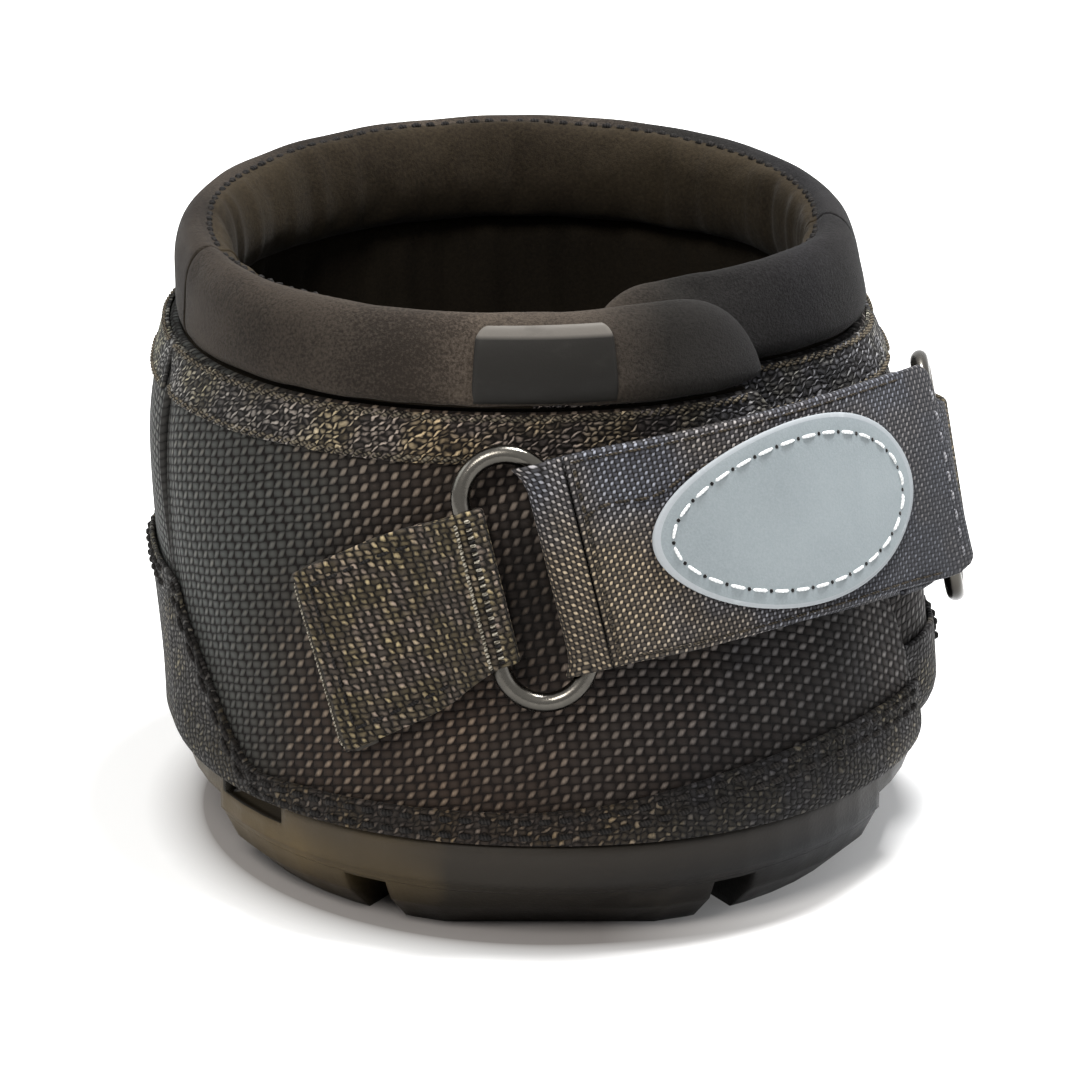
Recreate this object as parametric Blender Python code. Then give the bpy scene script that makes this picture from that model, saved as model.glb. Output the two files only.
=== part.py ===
"""Horse hoof boot: a moulded rubber sole under a wrap-round fabric upper with a padded collar.

The toe points to -Y, the ground is the plane z = 0, and the origin is the middle of the tread.
Angles round the boot are measured from the toe, positive towards +X.
"""

import math

import bmesh
import bpy
import numpy as np
from mathutils import Matrix, Vector

# Clearances
PIECE_GAP = 0.0003
SEAM_GAP = 0.0006
CUT_OVERRUN = 0.002
PROBE_ANGLE = 0.001
PROBE_HEIGHT = 0.0001

# Sole
SOLE_HALF_WIDTH = 0.0745
SOLE_TOE_REACH = 0.076
SOLE_HEEL_REACH = 0.0775
SOLE_POWER = 2.05
RIM_TOP = 0.0215
RIM_THICKNESS = 0.0085
RIM_EDGE_ROUND = 0.0008
SOLE_FLOOR = 0.012
TREAD_INSET = 0.0102
TREAD_TOP = 0.0125
TREAD_STEP = 0.0006
TREAD_MIDDLE_SHARE = 0.36
TOE_BEVEL_SETBACK = 0.0134
TOE_BEVEL_TOP = 0.0115
SOLE_SEGMENTS = 60

# Tread pattern
NOTCH_ANGLE = 29.0
NOTCH_WIDTH = 0.0096
NOTCH_HEIGHT = 0.0106
NOTCH_DEPTH = 0.024
HEEL_NOTCH_ANGLE = 152.0
SIDE_RECESS_START = 61.0
SIDE_RECESS_END = 112.0
SIDE_RECESS_HEIGHT = 0.0162
SIDE_RECESS_DEPTH = 0.006
SIDE_CUT_MARGIN = 1.5
SIDE_CUT_HEIGHT = 0.0095
SIDE_CUT_DEPTH = 0.020
GROOVE_INSET = 0.0245
GROOVE_WIDTH = 0.007
GROOVE_DEPTH = 0.0065
CHANNEL_OFFSET = 0.017
CHANNEL_WIDTH = 0.006
DRAIN_START = -59.0
DRAIN_END = -44.0
DRAIN_DEPTH = 0.0042

# Inner sole
BOARD_THICKNESS = 0.0015
FOOTBED_THICKNESS = 0.004
FOOTBED_EDGE_ROUND = 0.0012
INNER_SOLE_GAP = 0.0005

# Upper wall, measured to its outer skin
RING_HEIGHT = 0.0712
WALL_ABOVE_RINGS = 0.0298
WALL_TOP = RING_HEIGHT + WALL_ABOVE_RINGS
WALL_HEIGHT = WALL_TOP - RIM_TOP
TOE_REACH = 0.0745
TOE_LEAN = 0.023
HEEL_REACH = 0.0765
HEEL_LEAN = 0.0135
LOW_HALF_WIDTH = 0.0785
TOP_HALF_WIDTH = 0.0706
PINCH_POWER = 6.0
FOOT_PINCH = 0.0038
FOOT_HEIGHT = 0.0072
COLLAR_SHIFT = 0.0066
WALL_POWER = 2.15
HEEL_POWER = 1.95
FABRIC_THICKNESS = 0.0018
LINING_THICKNESS = 0.002

# Where the upper is divided into its back and its two flaps
OUTER_HINGE_ANGLE = -70.0
INNER_HINGE_ANGLE = 88.0
INNER_FLAP_TIP_ANGLE = 3.0
FLAP_EDGE_LOW_ANGLE = 70.5
FLAP_EDGE_SWEEP = 31.0
FLAP_EDGE_POWER = 1.7

# How far the inner flap passes under the outer one
DIP_LOW = 0.007
DIP_TOP_GAIN = 0.006
DIP_END_LOW_ANGLE = 66.0
DIP_START_TOP_ANGLE = 82.0
DIP_END_TOP_ANGLE = 32.0

# Hook and loop panels between the flaps
PANEL_THICKNESS = 0.001
PANEL_START_ANGLE = 7.0
PANEL_END_ANGLE = 30.0
PANEL_CLEARANCE = 0.003
PANEL_TOP_SHARE = 0.803

# Reinforcement round the foot of the upper, and the band below the collar
RAND_THICKNESS = 0.0012
HEM_HEIGHT = 0.006
HEM_LEFT_RISE_SHARE = 0.371
HEM_LEFT_START = -45.0
HEM_RIGHT_RISE_SHARE = 0.107
HEM_RIGHT_START = -5.0
HEM_RIGHT_SPAN = 55.0
REAR_RAND_RIGHT_SHARE = 0.205
INNER_HEM_SHARE = 0.22
REAR_RAND_HEEL_GAIN = 0.004
BAND_THICKNESS = 0.0008
BAND_HEIGHT = 0.0092

# Padded collar
COLLAR_HALF_HEIGHT = 0.0098
COLLAR_HEEL_GAIN_SHARE = 0.11
COLLAR_SEAT_GAP = 0.0005
COLLAR_HALF_THICKNESS = 0.0060
INNER_COLLAR_HALF_THICKNESS = 0.0046
COLLAR_POWER = 2.7
OUTER_COLLAR_END_ANGLE = 44.0
INNER_COLLAR_END_ANGLE = 12.0
COLLAR_TIP_ANGLE = 16.0
COLLAR_TIP_SHARES = (0.0, 0.3, 0.55, 0.75, 0.9, 1.0)
COLLAR_TIP_WIDTH_SHARE = 0.45
COLLAR_END_SHARE = 0.2

# Rings
WIRE_RADIUS = 0.0019
RING_HALF_WIDTH = 0.0085
RING_HALF_HEIGHT = 0.0241
LEFT_RING_TILT = 14.0
RIGHT_RING_TILT = 17.5
LEFT_RING_ANGLE = -0.2
RIGHT_RING_ANGLE = 86.0
RING_FLAT = 0.0145
RING_BLEND = 0.012
FOLD_GAP = 0.0003
FOLD_SHIFT_SHARE = 0.6

# Webbing tabs that hold the rings
TAB_THICKNESS = 0.0018
TAB_HALF_WIDTH = 0.0170
TAB_FOLD_HALF_WIDTH = 0.0152
LEFT_TAB_LENGTH = 0.036
LEFT_TAB_SLOPE_SHARE = 0.24
RIGHT_TAB_LENGTH = 0.030
RIGHT_TAB_SLOPE_SHARE = -0.16
TAB_FALL = 0.012

# Strap
STRAP_THICKNESS = 0.0018
STRAP_HALF_WIDTH = 0.0205
STRAP_LIFT = 0.0003
STRAP_HINGE_REACH = 0.004
STRAP_END_ANGLE = 70.0
STRAP_END_RISE = 0.0032
STRAP_END_RISE_LENGTH = 0.018
STRAP_END_LIFT = 0.0010
STRAP_END_SKEW = 0.0030
STRAP_END_HALF_WIDTH = 0.0193
STRAP_CORNER_ROUND = 0.0035
RETURN_LENGTH = 0.024
RETURN_FALL = 0.012
LOOP_PATCH_THICKNESS = 0.0017
HOOK_PATCH_THICKNESS = 0.0018
PATCH_MARGIN = 0.003
PATCH_END_GAP = 0.003

# Bare oval patch on the strap, and bare rubber tab on the collar
LABEL_HALF_LENGTH = 0.0282
LABEL_HALF_WIDTH = 0.0173
LABEL_THICKNESS = 0.001
LABEL_ANGLE = 39.4
NAME_TAB_ANGLE = 4.6
NAME_TAB_TOP_HALF_WIDTH = 0.0133
NAME_TAB_LOW_HALF_WIDTH = 0.0142
NAME_TAB_THICKNESS = 0.0016
NAME_TAB_LOW_TURN = -52.0
NAME_TAB_HIGH_TURN = 34.0
NAME_TAB_CORNER = 0.0025

# Hinge lines of the flaps stand this far off the skin
HINGE_STANDOFF = 0.0064

# Faceting
ANGLE_PER_COLUMN = 6.5
WALL_ROWS = 6
COLLAR_SIDES = 14
NAME_TAB_COLUMNS = 7
NAME_TAB_ROWS = 6
RING_END_POINTS = 10
WIRE_RESOLUTION = 2
FOLD_STEPS = 6
STRAP_SPANS = 6
STRAP_STEP = 0.005
GRID_SHARE = 0.25
LABEL_TIP_SHARES = (0.985, 0.94)
LABEL_END_SHARE = 0.1
CORNER_SHARES = (0.5, 0.13, 0.0)
RETURN_SHARES = (0.0, 0.1, 0.2, 0.3, 0.4, 0.5, 1.0)
STRAP_FOLD_SHARES = (-1.0, -0.92, -0.82, -0.7, -0.2, 0.3, 0.62, 0.74, 0.84, 0.92, 1.0)
TAB_SPANS = 3
TAB_STATION_SHARES = (0.0, 0.08, 0.17, 0.26, 0.35, 0.55, 0.78, 1.0)
PATH_ANGLES = (-70.0, 130.0)
PATH_POINTS = 401
RAND_ROWS = 3
PANEL_ROWS = 4
SHARP_ANGLE = 35.0


def clear_scene():
    for thing in list(bpy.data.objects):
        bpy.data.objects.remove(thing, do_unlink=True)


def make_material(name, colour, roughness, metallic=0.0):
    material = bpy.data.materials.new(name)
    material.use_nodes = True
    shader = material.node_tree.nodes["Principled BSDF"]
    shader.inputs["Base Color"].default_value = (*colour, 1.0)
    shader.inputs["Roughness"].default_value = roughness
    shader.inputs["Metallic"].default_value = metallic
    return material


def smooth(share):
    share = min(max(share, 0.0), 1.0)
    return share * share * (3.0 - 2.0 * share)


def blend(first, second, share):
    return first + (second - first) * share


# Meshes from grids of points


def object_from(name, points, faces, material):
    """A closed mesh object from points in world coordinates, with its faces turned outwards."""
    mesh = bpy.data.meshes.new(name)
    model = bmesh.new()
    corners = [model.verts.new(point) for point in points]
    for face in faces:
        model.faces.new([corners[index] for index in face])
    bmesh.ops.recalc_face_normals(model, faces=model.faces)
    model.to_mesh(mesh)
    model.free()
    mesh.materials.append(material)
    mesh.shade_smooth()
    mesh.set_sharp_from_angle(angle=math.radians(SHARP_ANGLE))
    piece = bpy.data.objects.new(name, mesh)
    bpy.context.scene.collection.objects.link(piece)
    return piece


def sheet_between(name, first_side, second_side, material):
    """A closed sheet between two grids of points of the same size."""
    columns, rows = len(first_side), len(first_side[0])
    points = [point for side in (first_side, second_side) for column in side for point in column]
    far = columns * rows

    def at(side, column, row):
        return side * far + column * rows + row

    faces = []
    for column in range(columns - 1):
        for row in range(rows - 1):
            for side in (0, 1):
                faces.append((at(side, column, row), at(side, column + 1, row),
                              at(side, column + 1, row + 1), at(side, column, row + 1)))
        for row in (0, rows - 1):
            faces.append((at(0, column, row), at(0, column + 1, row),
                          at(1, column + 1, row), at(1, column, row)))
    for row in range(rows - 1):
        for column in (0, columns - 1):
            faces.append((at(0, column, row), at(0, column, row + 1),
                          at(1, column, row + 1), at(1, column, row)))
    return object_from(name, points, faces, material)


def loft(name, rings, material):
    """A closed body through rings of points, capped at its first and last ring."""
    sides = len(rings[0])
    points = [point for ring in rings for point in ring]
    faces = [tuple(range(sides)), tuple(range((len(rings) - 1) * sides, len(rings) * sides))]
    for level in range(len(rings) - 1):
        for side in range(sides):
            after = (side + 1) % sides
            faces.append((level * sides + side, level * sides + after,
                          (level + 1) * sides + after, (level + 1) * sides + side))
    return object_from(name, points, faces, material)


# Sole


def sole_reach(angle):
    """Distance from the origin to the sole's outline in a direction."""
    east, south = math.sin(angle), math.cos(angle)
    length = SOLE_TOE_REACH if south > 0.0 else SOLE_HEEL_REACH
    total = abs(east / SOLE_HALF_WIDTH) ** SOLE_POWER + abs(south / length) ** SOLE_POWER
    return total ** (-1.0 / SOLE_POWER)


def sole_point(angle, inset, height):
    reach = sole_reach(angle) - inset
    return Vector((reach * math.sin(angle), -reach * math.cos(angle), height))


def sole_ring(inset, height, segments=SOLE_SEGMENTS):
    """One level of the sole, with the toe cut back by the bevel that it rolls over."""
    toe_limit = SOLE_TOE_REACH - TOE_BEVEL_SETBACK * max(1.0 - height / TOE_BEVEL_TOP, 0.0)
    ring = []
    for index in range(segments):
        point = sole_point(2.0 * math.pi * index / segments, inset, height)
        point.y = max(point.y, -toe_limit)
        ring.append(point)
    return ring


def cutter_from(piece):
    piece.hide_render = True
    piece.display_type = "WIRE"
    return piece


def sector_cutter(name, start, end, near_inset, far_inset, low, high, material):
    """A block that follows the sole's outline between two angles and two insets."""
    steps = max(2, int(round(math.degrees(abs(end - start)) / ANGLE_PER_COLUMN)))
    angles = [blend(start, end, index / steps) for index in range(steps + 1)]
    sides = []
    for inset in (near_inset, far_inset):
        sides.append([[sole_point(angle, inset, height) for height in (low, high)]
                      for angle in angles])
    return cutter_from(sheet_between(name, sides[0], sides[1], material))


def ring_cutter(name, near_inset, far_inset, low, high, material):
    """A closed groove round the tread."""
    rings = []
    for inset, height in ((near_inset, low), (near_inset, high), (far_inset, high), (far_inset, low)):
        rings.append([sole_point(2.0 * math.pi * index / SOLE_SEGMENTS, inset, height)
                      for index in range(SOLE_SEGMENTS)])
    points = [point for ring in rings for point in ring]
    faces = []
    for level in range(len(rings)):
        above = (level + 1) % len(rings)
        for side in range(SOLE_SEGMENTS):
            after = (side + 1) % SOLE_SEGMENTS
            faces.append((level * SOLE_SEGMENTS + side, level * SOLE_SEGMENTS + after,
                          above * SOLE_SEGMENTS + after, above * SOLE_SEGMENTS + side))
    return cutter_from(object_from(name, points, faces, material))


def box_cutter(name, low_corner, high_corner, material):
    sides = []
    for x in (low_corner[0], high_corner[0]):
        sides.append([[Vector((x, y, z)) for z in (low_corner[2], high_corner[2])]
                      for y in (low_corner[1], high_corner[1])])
    return cutter_from(sheet_between(name, sides[0], sides[1], material))


def subtract(piece, cutter):
    cut = piece.modifiers.new(cutter.name, "BOOLEAN")
    cut.operation = "DIFFERENCE"
    cut.solver = "EXACT"
    cut.object = cutter


def make_outsole(material):
    """A cup with a bevelled toe, a stepped rim band and a tread of separate blocks."""
    middle = TREAD_TOP / 2.0
    rings = [
        sole_ring(TREAD_INSET, 0.0),
        sole_ring(TREAD_INSET * TREAD_MIDDLE_SHARE, middle),
        sole_ring(TREAD_STEP, TREAD_TOP),
        sole_ring(0.0, TREAD_TOP + TREAD_STEP),
        sole_ring(0.0, RIM_TOP - RIM_EDGE_ROUND),
        sole_ring(RIM_EDGE_ROUND, RIM_TOP),
        sole_ring(RIM_THICKNESS, RIM_TOP),
        sole_ring(RIM_THICKNESS, SOLE_FLOOR),
    ]
    outsole = loft("outsole", rings, material)
    below = -CUT_OVERRUN
    cutters = [ring_cutter("tread_groove_cut", GROOVE_INSET, GROOVE_INSET + GROOVE_WIDTH, below,
                           GROOVE_DEPTH, material)]
    for label, angle in (("toe", NOTCH_ANGLE), ("heel", HEEL_NOTCH_ANGLE)):
        for hand, sign in (("right", 1.0), ("left", -1.0)):
            centre = math.radians(angle) * sign
            half = NOTCH_WIDTH / 2.0 / sole_reach(centre)
            cutters.append(sector_cutter(label + "_notch_cut_" + hand, centre - half, centre + half,
                                         -CUT_OVERRUN, NOTCH_DEPTH, below, NOTCH_HEIGHT, material))
    for hand, sign in (("right", 1.0), ("left", -1.0)):
        for label, margin, depth, top in (
                ("side_recess_cut_", 0.0, SIDE_RECESS_DEPTH, SIDE_RECESS_HEIGHT),
                ("side_cut_", SIDE_CUT_MARGIN, SIDE_CUT_DEPTH, SIDE_CUT_HEIGHT)):
            start = sign * math.radians(SIDE_RECESS_START + margin)
            end = sign * math.radians(SIDE_RECESS_END - margin)
            cutters.append(sector_cutter(label + hand, start, end, -CUT_OVERRUN, depth, below, top,
                                         material))
    across = SOLE_HALF_WIDTH - GROOVE_INSET - GROOVE_WIDTH / 2.0
    for label, sign in (("front", -1.0), ("back", 1.0)):
        centre = sign * CHANNEL_OFFSET
        low_corner = (-across, centre - CHANNEL_WIDTH / 2.0, below)
        high_corner = (across, centre + CHANNEL_WIDTH / 2.0, GROOVE_DEPTH - PIECE_GAP)
        cutters.append(box_cutter("tread_channel_cut_" + label, low_corner, high_corner, material))
    cutters.append(sector_cutter("drain_slot_cut", math.radians(DRAIN_START), math.radians(DRAIN_END),
                                 -CUT_OVERRUN, RIM_THICKNESS + CUT_OVERRUN, RIM_TOP - DRAIN_DEPTH,
                                 RIM_TOP + CUT_OVERRUN, material))
    for cutter in cutters:
        subtract(outsole, cutter)
    return outsole


def make_inner_sole(board_material, footbed_material):
    inset = RIM_THICKNESS + INNER_SOLE_GAP
    board_low = SOLE_FLOOR + PIECE_GAP
    board_top = board_low + BOARD_THICKNESS
    board = loft("insole_board", [sole_ring(inset, board_low), sole_ring(inset, board_top)], board_material)
    low = board_top + PIECE_GAP
    top = low + FOOTBED_THICKNESS
    rounding = FOOTBED_EDGE_ROUND
    footbed = loft("footbed", [sole_ring(inset, low), sole_ring(inset, top - rounding),
                               sole_ring(inset + rounding, top)], footbed_material)
    return board, footbed


# Upper wall


def wall_rise(height):
    """How high up the wall a height is, from 0 at the rim to 1 at the collar."""
    return min(max((height - RIM_TOP) / (WALL_TOP - RIM_TOP), 0.0), 1.0)


def wall_section(height):
    """Centre, half width and half length of the wall's outer outline at a height."""
    rise = wall_rise(height)
    toe = -TOE_REACH + TOE_LEAN * rise
    heel = HEEL_REACH + HEEL_LEAN * rise
    half_width = blend(LOW_HALF_WIDTH, TOP_HALF_WIDTH, rise ** PINCH_POWER)
    half_width -= FOOT_PINCH * max(1.0 - (height - RIM_TOP) / FOOT_HEIGHT, 0.0) ** 2
    centre = Vector((-COLLAR_SHIFT * smooth(rise), (toe + heel) / 2.0, height))
    return centre, half_width, (heel - toe) / 2.0


def wall_skin(angle, height):
    """A point of the wall's outer skin."""
    centre, half_width, half_length = wall_section(height)
    east, south = math.sin(angle), math.cos(angle)
    power = WALL_POWER if south > 0.0 else HEEL_POWER
    total = abs(east / half_width) ** power + abs(south / half_length) ** power
    reach = total ** (-1.0 / power)
    return centre + Vector((reach * east, -reach * south, 0.0))


def wall_axes(angle, height):
    """Unit directions on the wall: round it, up it and out of it."""
    ahead = wall_skin(angle + PROBE_ANGLE, height) - wall_skin(angle - PROBE_ANGLE, height)
    probe = min(height, WALL_TOP - PROBE_HEIGHT)
    above = wall_skin(angle, probe + PROBE_HEIGHT) - wall_skin(angle, probe - PROBE_HEIGHT)
    ahead.normalize()
    out = ahead.cross(above).normalized()
    return ahead, out.cross(ahead), out


def wall_point(angle, height, offset):
    return wall_skin(angle, height) + wall_axes(angle, height)[2] * offset


def level_point(angle, height, offset):
    """A point off the skin at the same height, with the offset measured square to the wall."""
    out = wall_axes(angle, height)[2]
    return wall_skin(angle, height) + Vector((out.x, out.y, 0.0)) * (offset / (out.x ** 2 + out.y ** 2))


def flap_edge(height):
    """The outer flap's free edge, which sweeps back towards its foot."""
    rise = wall_rise(height)
    return math.radians(FLAP_EDGE_LOW_ANGLE - FLAP_EDGE_SWEEP * rise ** FLAP_EDGE_POWER)


def under_share(angle, height):
    """How far the inner flap has passed under the outer one, from 0 at its hinge to 1."""
    rise = wall_rise(height) ** 2
    start = math.radians(blend(INNER_HINGE_ANGLE, DIP_START_TOP_ANGLE, rise))
    end = math.radians(blend(DIP_END_LOW_ANGLE, DIP_END_TOP_ANGLE, rise))
    return smooth((start - angle) / (start - end))


def inner_dip(angle, height):
    """How deep the inner flap lies below the skin, so that the outer flap covers it.

    It runs straight between the wall's rows of points, so that a hem or band lies flat on the flap.
    """
    steps = float(np.interp(height, WALL_LEVELS, range(WALL_ROWS + 1)))
    row = min(math.floor(steps), WALL_ROWS - 1)
    depths = []
    for level in WALL_LEVELS[row:row + 2]:
        deepest = DIP_LOW + DIP_TOP_GAIN * wall_rise(level) ** 2
        depths.append(deepest * under_share(angle, level))
    return blend(depths[0], depths[1], steps - row)


def column_count(start, end):
    return max(2, int(round(math.degrees(abs(end - start)) / ANGLE_PER_COLUMN)))


def wall_sheet(name, place, base, low_offset, thickness, columns, rows, material):
    """A sheet that lies along the wall.

    place gives the angle and height at two shares of the sheet, and base how deep its wall lies.
    """
    sides = []
    for offset in (low_offset, low_offset + thickness):
        grid = []
        for column in range(columns + 1):
            line = []
            for row in range(rows + 1):
                angle, height = place(column / columns, row / rows)
                line.append(level_point(angle, height, offset - base(angle, height)))
            grid.append(line)
        sides.append(grid)
    return sheet_between(name, sides[0], sides[1], material)


def on_skin(angle, height):
    return 0.0


def seam_angle(height):
    """The angle that half of a seam's gap takes up."""
    return SEAM_GAP / 2.0 / wall_section(height)[1]


WALL_LOW = RIM_TOP + PIECE_GAP
BAND_LOW = WALL_TOP - BAND_HEIGHT
FOOT_TOP = RIM_TOP + FOOT_HEIGHT
EVEN_ROWS = WALL_ROWS - 2
WALL_LEVELS = [WALL_LOW] + [blend(FOOT_TOP, BAND_LOW, row / EVEN_ROWS) for row in range(EVEN_ROWS + 1)]
WALL_LEVELS.append(WALL_TOP)
LINING_OFFSET = -(FABRIC_THICKNESS + PIECE_GAP + LINING_THICKNESS)


def wall_level(rise):
    """Height at a share of the wall's rows, which are even up to the band below the collar."""
    return float(np.interp(rise * WALL_ROWS, range(WALL_ROWS + 1), WALL_LEVELS))


def band_level(rise):
    return blend(BAND_LOW, WALL_TOP, rise)


def rand_level(top, rise):
    """Height at a share of a reinforcement's rows, the lowest of which ends by the wall's own first row."""
    foot = min(FOOT_TOP, blend(WALL_LOW, top, 1.0 / RAND_ROWS))
    levels = [WALL_LOW] + [blend(foot, top, row / (RAND_ROWS - 1)) for row in range(RAND_ROWS)]
    return float(np.interp(rise * RAND_ROWS, range(RAND_ROWS + 1), levels))


def rear_place(level):
    """Places on the back of the upper, between the two hinge seams."""
    def place(share, rise):
        height = level(rise)
        start = math.radians(INNER_HINGE_ANGLE) + seam_angle(height)
        end = math.radians(360.0 + OUTER_HINGE_ANGLE) - seam_angle(height)
        return blend(start, end, share), height
    return place


def outer_place(level):
    """Places on the outer flap, from its hinge seam to its free edge."""
    def place(share, rise):
        height = level(rise)
        start = math.radians(OUTER_HINGE_ANGLE) + seam_angle(height)
        return blend(start, flap_edge(height), share), height
    return place


def inner_place(level):
    """Places on the inner flap, from its tip to its hinge seam."""
    def place(share, rise):
        height = level(rise)
        end = math.radians(INNER_HINGE_ANGLE) - seam_angle(height)
        return blend(math.radians(INNER_FLAP_TIP_ANGLE), end, share), height
    return place


def make_walls(fabric, lining):
    rear_columns = column_count(math.radians(INNER_HINGE_ANGLE), math.radians(360.0 + OUTER_HINGE_ANGLE))
    outer_columns = column_count(math.radians(OUTER_HINGE_ANGLE), math.radians(FLAP_EDGE_LOW_ANGLE))
    inner_columns = column_count(math.radians(INNER_FLAP_TIP_ANGLE), math.radians(INNER_HINGE_ANGLE))
    pieces = []
    for name, places, base, columns in (("rear", rear_place, on_skin, rear_columns),
                                        ("outer_flap", outer_place, on_skin, outer_columns),
                                        ("inner_flap", inner_place, inner_dip, inner_columns)):
        place = places(wall_level)
        shell = "rear_shell" if name == "rear" else name
        pieces.append(wall_sheet(shell, place, base, -FABRIC_THICKNESS, FABRIC_THICKNESS,
                                 columns, WALL_ROWS, fabric))
        pieces.append(wall_sheet(name + "_lining", place, base, LINING_OFFSET, LINING_THICKNESS,
                                 columns, WALL_ROWS, lining))
    return pieces


def hem_top(angle):
    """Upper edge of the reinforcement on the outer flap: high at its hinge, low at the toe."""
    degrees = math.degrees(angle)
    left = smooth((HEM_LEFT_START - degrees) / (HEM_LEFT_START - OUTER_HINGE_ANGLE))
    right = smooth((degrees - HEM_RIGHT_START) / HEM_RIGHT_SPAN)
    rise = HEM_LEFT_RISE_SHARE * left + HEM_RIGHT_RISE_SHARE * right
    return RIM_TOP + HEM_HEIGHT + rise * WALL_HEIGHT


def rear_rand_top(angle):
    """Upper edge of the reinforcement on the back, which meets the flap's at the left hinge."""
    start, end = math.radians(INNER_HINGE_ANGLE), math.radians(360.0 + OUTER_HINGE_ANGLE)
    share = (angle - start) / (end - start)
    right = REAR_RAND_RIGHT_SHARE * WALL_HEIGHT
    left = HEM_HEIGHT + HEM_LEFT_RISE_SHARE * WALL_HEIGHT
    heel = REAR_RAND_HEEL_GAIN * math.sin(math.pi * min(max(share, 0.0), 1.0))
    return RIM_TOP + blend(right, left, smooth(share)) + heel


def make_rands(material):
    """Reinforcing sheets sewn round the foot of the upper."""
    gap = SEAM_GAP / LOW_HALF_WIDTH / 2.0
    outer_start = math.radians(OUTER_HINGE_ANGLE) + gap
    rear_end = math.radians(360.0 + OUTER_HINGE_ANGLE) - gap
    inner_end = math.radians(INNER_HINGE_ANGLE) - gap
    inner_top = RIM_TOP + INNER_HEM_SHARE * WALL_HEIGHT

    def outer(share, rise):
        low_angle = blend(outer_start, math.radians(FLAP_EDGE_LOW_ANGLE), share)
        height = rand_level(hem_top(low_angle), rise)
        return blend(outer_start, flap_edge(height), share), height

    def rear(share, rise):
        angle = blend(inner_end + 2.0 * gap, rear_end, share)
        return angle, rand_level(rear_rand_top(angle), rise)

    def inner(share, rise):
        angle = blend(math.radians(INNER_FLAP_TIP_ANGLE), inner_end, share)
        return angle, rand_level(inner_top, rise)

    pieces = []
    for name, place, base, start, end in (("outer_flap_hem", outer, on_skin, outer_start, inner_end),
                                          ("rear_rand", rear, on_skin, inner_end, rear_end),
                                          ("inner_flap_hem", inner, inner_dip, 0.0, inner_end)):
        pieces.append(wall_sheet(name, place, base, PIECE_GAP, RAND_THICKNESS,
                                 column_count(start, end), RAND_ROWS, material))
    return pieces


def make_top_bands(material):
    """Webbing bands sewn below the collar."""
    pieces = []
    for name, places, base in (("rear_top_band", rear_place, on_skin),
                               ("outer_flap_top_band", outer_place, on_skin),
                               ("inner_flap_top_band", inner_place, inner_dip)):
        place = places(band_level)
        columns = column_count(place(0.0, 0.0)[0], place(1.0, 0.0)[0])
        pieces.append(wall_sheet(name, place, base, PIECE_GAP, BAND_THICKNESS, columns, 1, material))
    return pieces


def make_flap_panels(hook_material, loop_material):
    """Hook panel on the inner flap and the loop panel inside the outer flap that it grips."""
    start, end = math.radians(PANEL_START_ANGLE), math.radians(PANEL_END_ANGLE)
    low = RIM_TOP + INNER_HEM_SHARE * WALL_HEIGHT + PANEL_CLEARANCE
    high = RIM_TOP + PANEL_TOP_SHARE * WALL_HEIGHT

    def place(share, rise):
        return blend(start, end, share), blend(low, high, rise)

    columns = column_count(start, end)
    hook = wall_sheet("flap_hook_panel", place, inner_dip, PIECE_GAP, PANEL_THICKNESS, columns,
                      PANEL_ROWS, hook_material)
    loop = wall_sheet("flap_loop_panel", place, on_skin, LINING_OFFSET - PIECE_GAP - PANEL_THICKNESS,
                      PANEL_THICKNESS, columns, PANEL_ROWS, loop_material)
    return [hook, loop]


# Padded collar


COLLAR_BASE = WALL_TOP + COLLAR_SEAT_GAP


def collar_half_height(angle):
    """The collar stands lower at the toe than at the heel."""
    return COLLAR_HALF_HEIGHT * (1.0 - COLLAR_HEEL_GAIN_SHARE * math.cos(angle))


def collar_profile(angle, depth, half_thickness, tip_share, turn, proud=0.0):
    """A point round the collar's oval section, which turn goes round from its outer side.

    Towards a tip the section gets lower, and it stays seated on the wall.
    """
    ahead, above, out = wall_axes(angle, RING_HEIGHT)
    half_height = collar_half_height(angle) * tip_share
    centre = level_point(angle, COLLAR_BASE + half_height, -depth)
    across, along = math.cos(turn), math.sin(turn)
    across = math.copysign(abs(across) ** (2.0 / COLLAR_POWER), across)
    along = math.copysign(abs(along) ** (2.0 / COLLAR_POWER), along)
    thick = half_thickness * blend(COLLAR_TIP_WIDTH_SHARE, 1.0, tip_share) + proud
    tall = (half_height + proud) / above.z
    return centre + out * (thick * across) + above * (tall * along)


def collar_roll(name, start, end, depth, half_thickness, tip, tip_angle, material):
    """A padded roll along the top of the wall.

    depth and half_thickness give its middle and its size at an angle. tip says which end, "start",
    "end" or neither, falls away in a rounded tip over tip_angle.
    """
    columns = column_count(start, end)
    angles = [blend(start, end, index / columns) for index in range(columns + 1)]
    if tip:
        limit, sign = (end, -1.0) if tip == "end" else (start, 1.0)
        angles = [angle for angle in angles if abs(angle - limit) > tip_angle]
        angles += [limit + sign * tip_angle * (1.0 - share) for share in COLLAR_TIP_SHARES]
        angles.sort()
    rings = []
    for angle in angles:
        tip_share = 1.0
        if tip:
            share = 1.0 - min(abs(angle - limit) / tip_angle, 1.0)
            tip_share = max(math.sqrt(max(1.0 - share * share, 0.0)), COLLAR_END_SHARE)
        rings.append([collar_profile(angle, depth(angle), half_thickness(angle), tip_share,
                                     2.0 * math.pi * side / COLLAR_SIDES)
                      for side in range(COLLAR_SIDES)])
    return loft(name, rings, material)


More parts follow.
